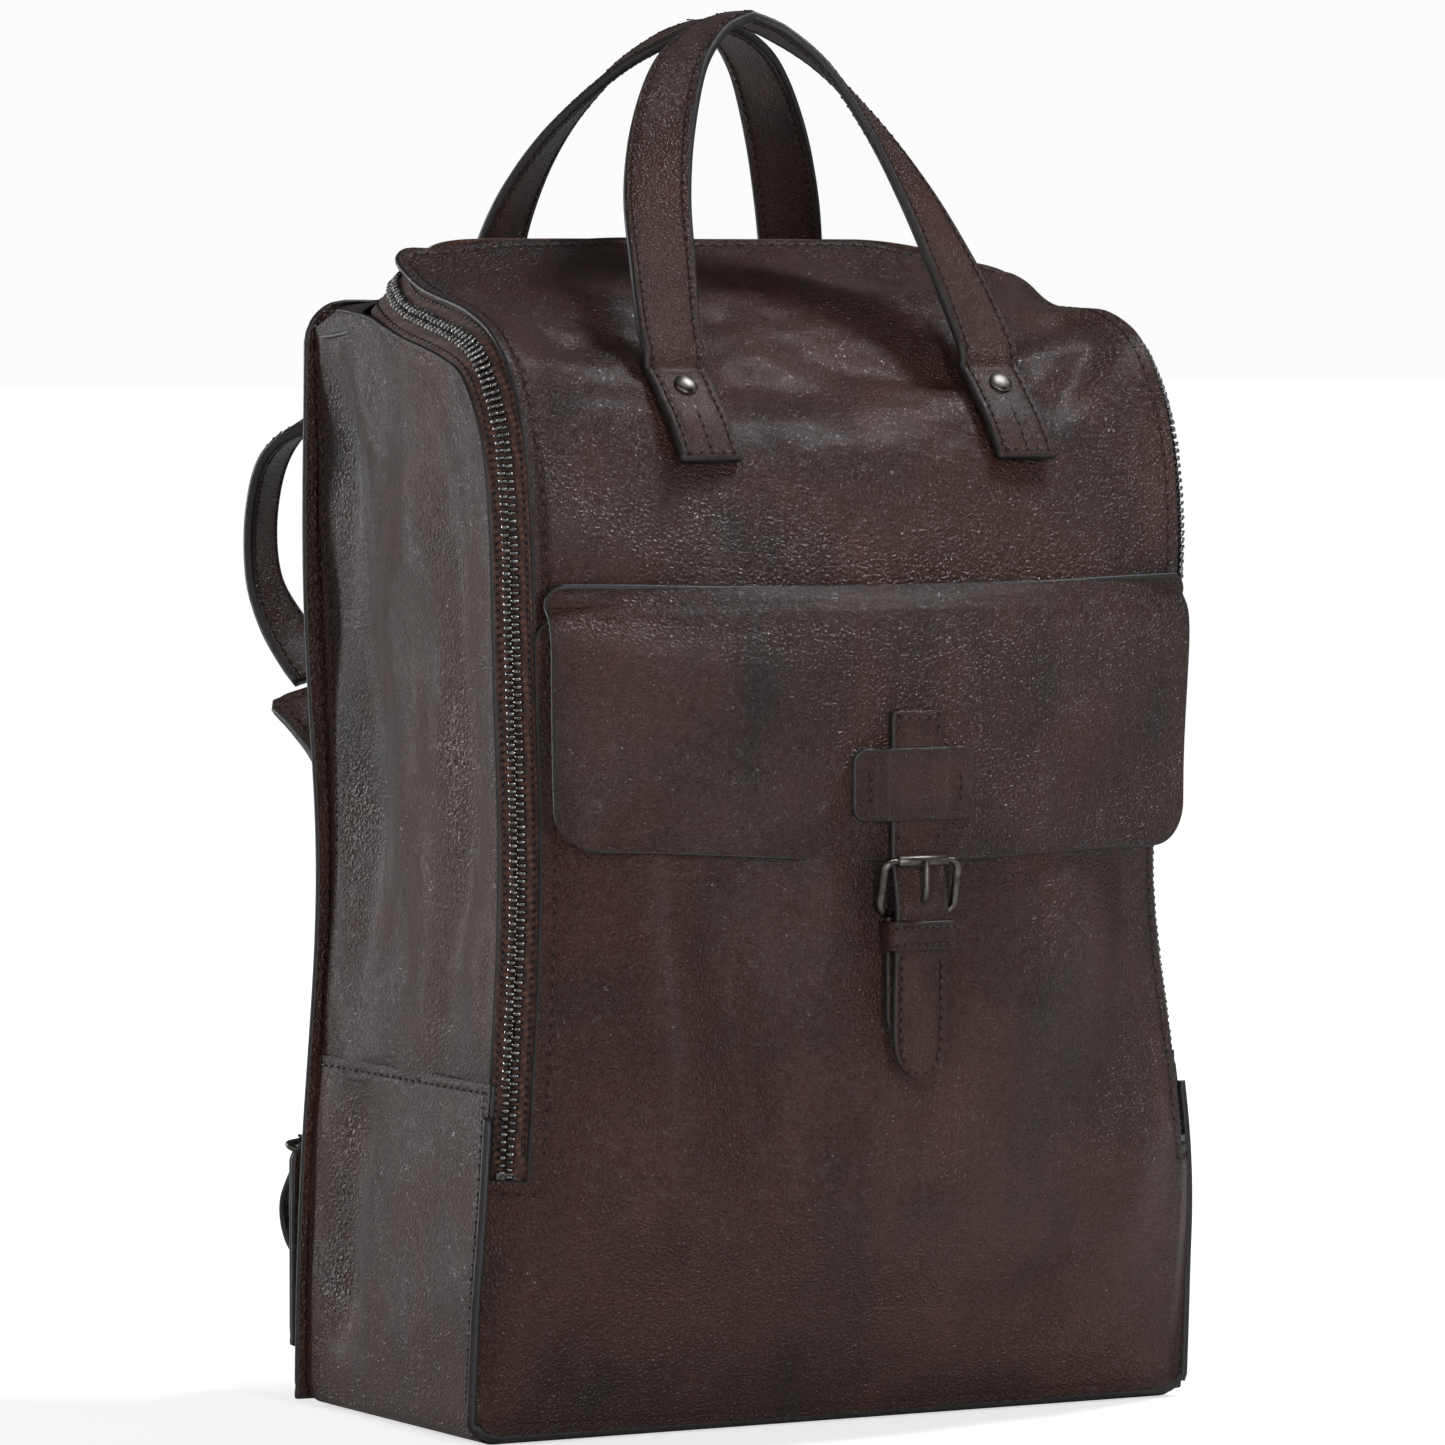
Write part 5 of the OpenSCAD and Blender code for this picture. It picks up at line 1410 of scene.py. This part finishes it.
for label, (p, along, out, body, node) in spots.items():
    teeth = scatter("zip_teeth_" + label, TEETH, p, along, out, (1.75, 3.6, 2.3), 0.0, 5, GUNMETAL)
    place(teeth, body, "zip_metal", "zip_teeth_" + node)

# ------------------------------------------------------------------ CAD nodes that stay
FINISHES = {"zip_end_stops": GUNMETAL, "zip_slider_left": GUNMETAL, "zip_slider_right": GUNMETAL,
            "zip_pull_left": GUNMETAL, "zip_pull_right": GUNMETAL, "snap_socket": PEWTER,
            "snap_stud": PEWTER, "base_board": FOAM}
for node, finish in FINISHES.items():
    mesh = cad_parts[node].data
    mesh.materials.clear()
    mesh.materials.append(finish)

# ------------------------------------------------------------------ floor, light, camera
m, t, shader, at = material("studio_floor_matt")
shader.inputs["Base Color"].default_value = linear("#E8E7E5")
shader.inputs["Roughness"].default_value = 0.9
seen = add(t, "ShaderNodeLightPath").outputs["Is Camera Ray"]
away = add(t, "ShaderNodeVectorMath", {"operation": "LENGTH"}, _0=at).outputs["Value"]
glow = maths(t, "MULTIPLY", seen, mapped(t, away, 0.35, 1.6, 0.62, 0.97))
t.links.new(glow, shader.inputs["Emission Strength"])
shader.inputs["Emission Color"].default_value = (1, 1, 1, 1)
me = bpy.data.meshes.new("studio_floor")
HALF_FLOOR = 30
corners = [(x * HALF_FLOOR, y * HALF_FLOOR, -0.0005) for x, y in ((-1, -1), (1, -1), (1, 1), (-1, 1))]
me.from_pydata(corners, [], [(0, 1, 2, 3)])
me.materials.append(m)
floor = linked("studio_floor", me)

# The room is dim, and only the backdrop behind the bag is bright
world = bpy.data.worlds.new("studio")
bpy.context.scene.world = world
world.use_nodes = True
t = world.node_tree
t.nodes.clear()
seen = add(t, "ShaderNodeLightPath").outputs["Is Camera Ray"]
room = add(t, "ShaderNodeBackground", Color=(0.80, 0.88, 1.0, 1), Strength=0.08).outputs[0]
paper = add(t, "ShaderNodeBackground", Color=(1, 1, 1, 1), Strength=0.97).outputs[0]
both = add(t, "ShaderNodeMixShader", _0=seen, _1=room, _2=paper).outputs[0]
add(t, "ShaderNodeOutputWorld", Surface=both)
bpy.context.scene.view_settings.view_transform = "Standard"


def softbox(name, at, size, power, colour):
    light = bpy.data.lights.new(name, "AREA")
    light.shape = "RECTANGLE"
    light.size, light.size_y = size
    light.energy = power
    light.color = colour
    o = linked(name, light)
    o.location = at
    o.rotation_mode = "QUATERNION"
    o.rotation_quaternion = (Vector((0, 0, 0.25)) - Vector(at)).to_track_quat("-Z", "Y")


softbox("strip_front", (-0.25, -2.6, 0.6), (0.20, 1.3), 30, (0.88, 0.93, 1.0))
softbox("strip_behind_left", (-1.45, 2.1, 0.6), (0.22, 1.6), 36, (0.95, 0.97, 1.0))
softbox("softbox_top", (0.95, -0.15, 2.1), (0.35, 0.45), 26, (0.90, 0.94, 1.0))
softbox("softbox_key", (-1.9, -2.1, 1.5), (0.9, 0.9), 15, (1, 0.96, 0.92))
softbox("softbox_left", (-2.6, -0.5, 0.9), (0.9, 1.4), 7, (1, 0.95, 0.9))
softbox("softbox_right", (2.2, -1.4, 0.8), (0.35, 1.5), 6, (1, 0.98, 0.96))

camera = bpy.data.cameras.new("camera")
camera.lens, camera.sensor_width = 213.2, 36
camera.clip_start, camera.clip_end = 0.1, 100
eye = linked("camera", camera)
turn, tip_up = math.radians(-29.05), math.radians(2.9)
back = Vector((math.sin(turn) * math.cos(tip_up), -math.cos(turn) * math.cos(tip_up), math.sin(tip_up)))
right = Vector((math.cos(turn), math.sin(turn), 0))
up = back.cross(right)
eye.rotation_mode = "QUATERNION"
eye.rotation_quaternion = (-back).to_track_quat("-Z", "Y")
eye.location = Vector((0, 0, 0.2)) + back * 3.2 - right * 0.0082 + up * 0.054
bpy.context.scene.camera = eye
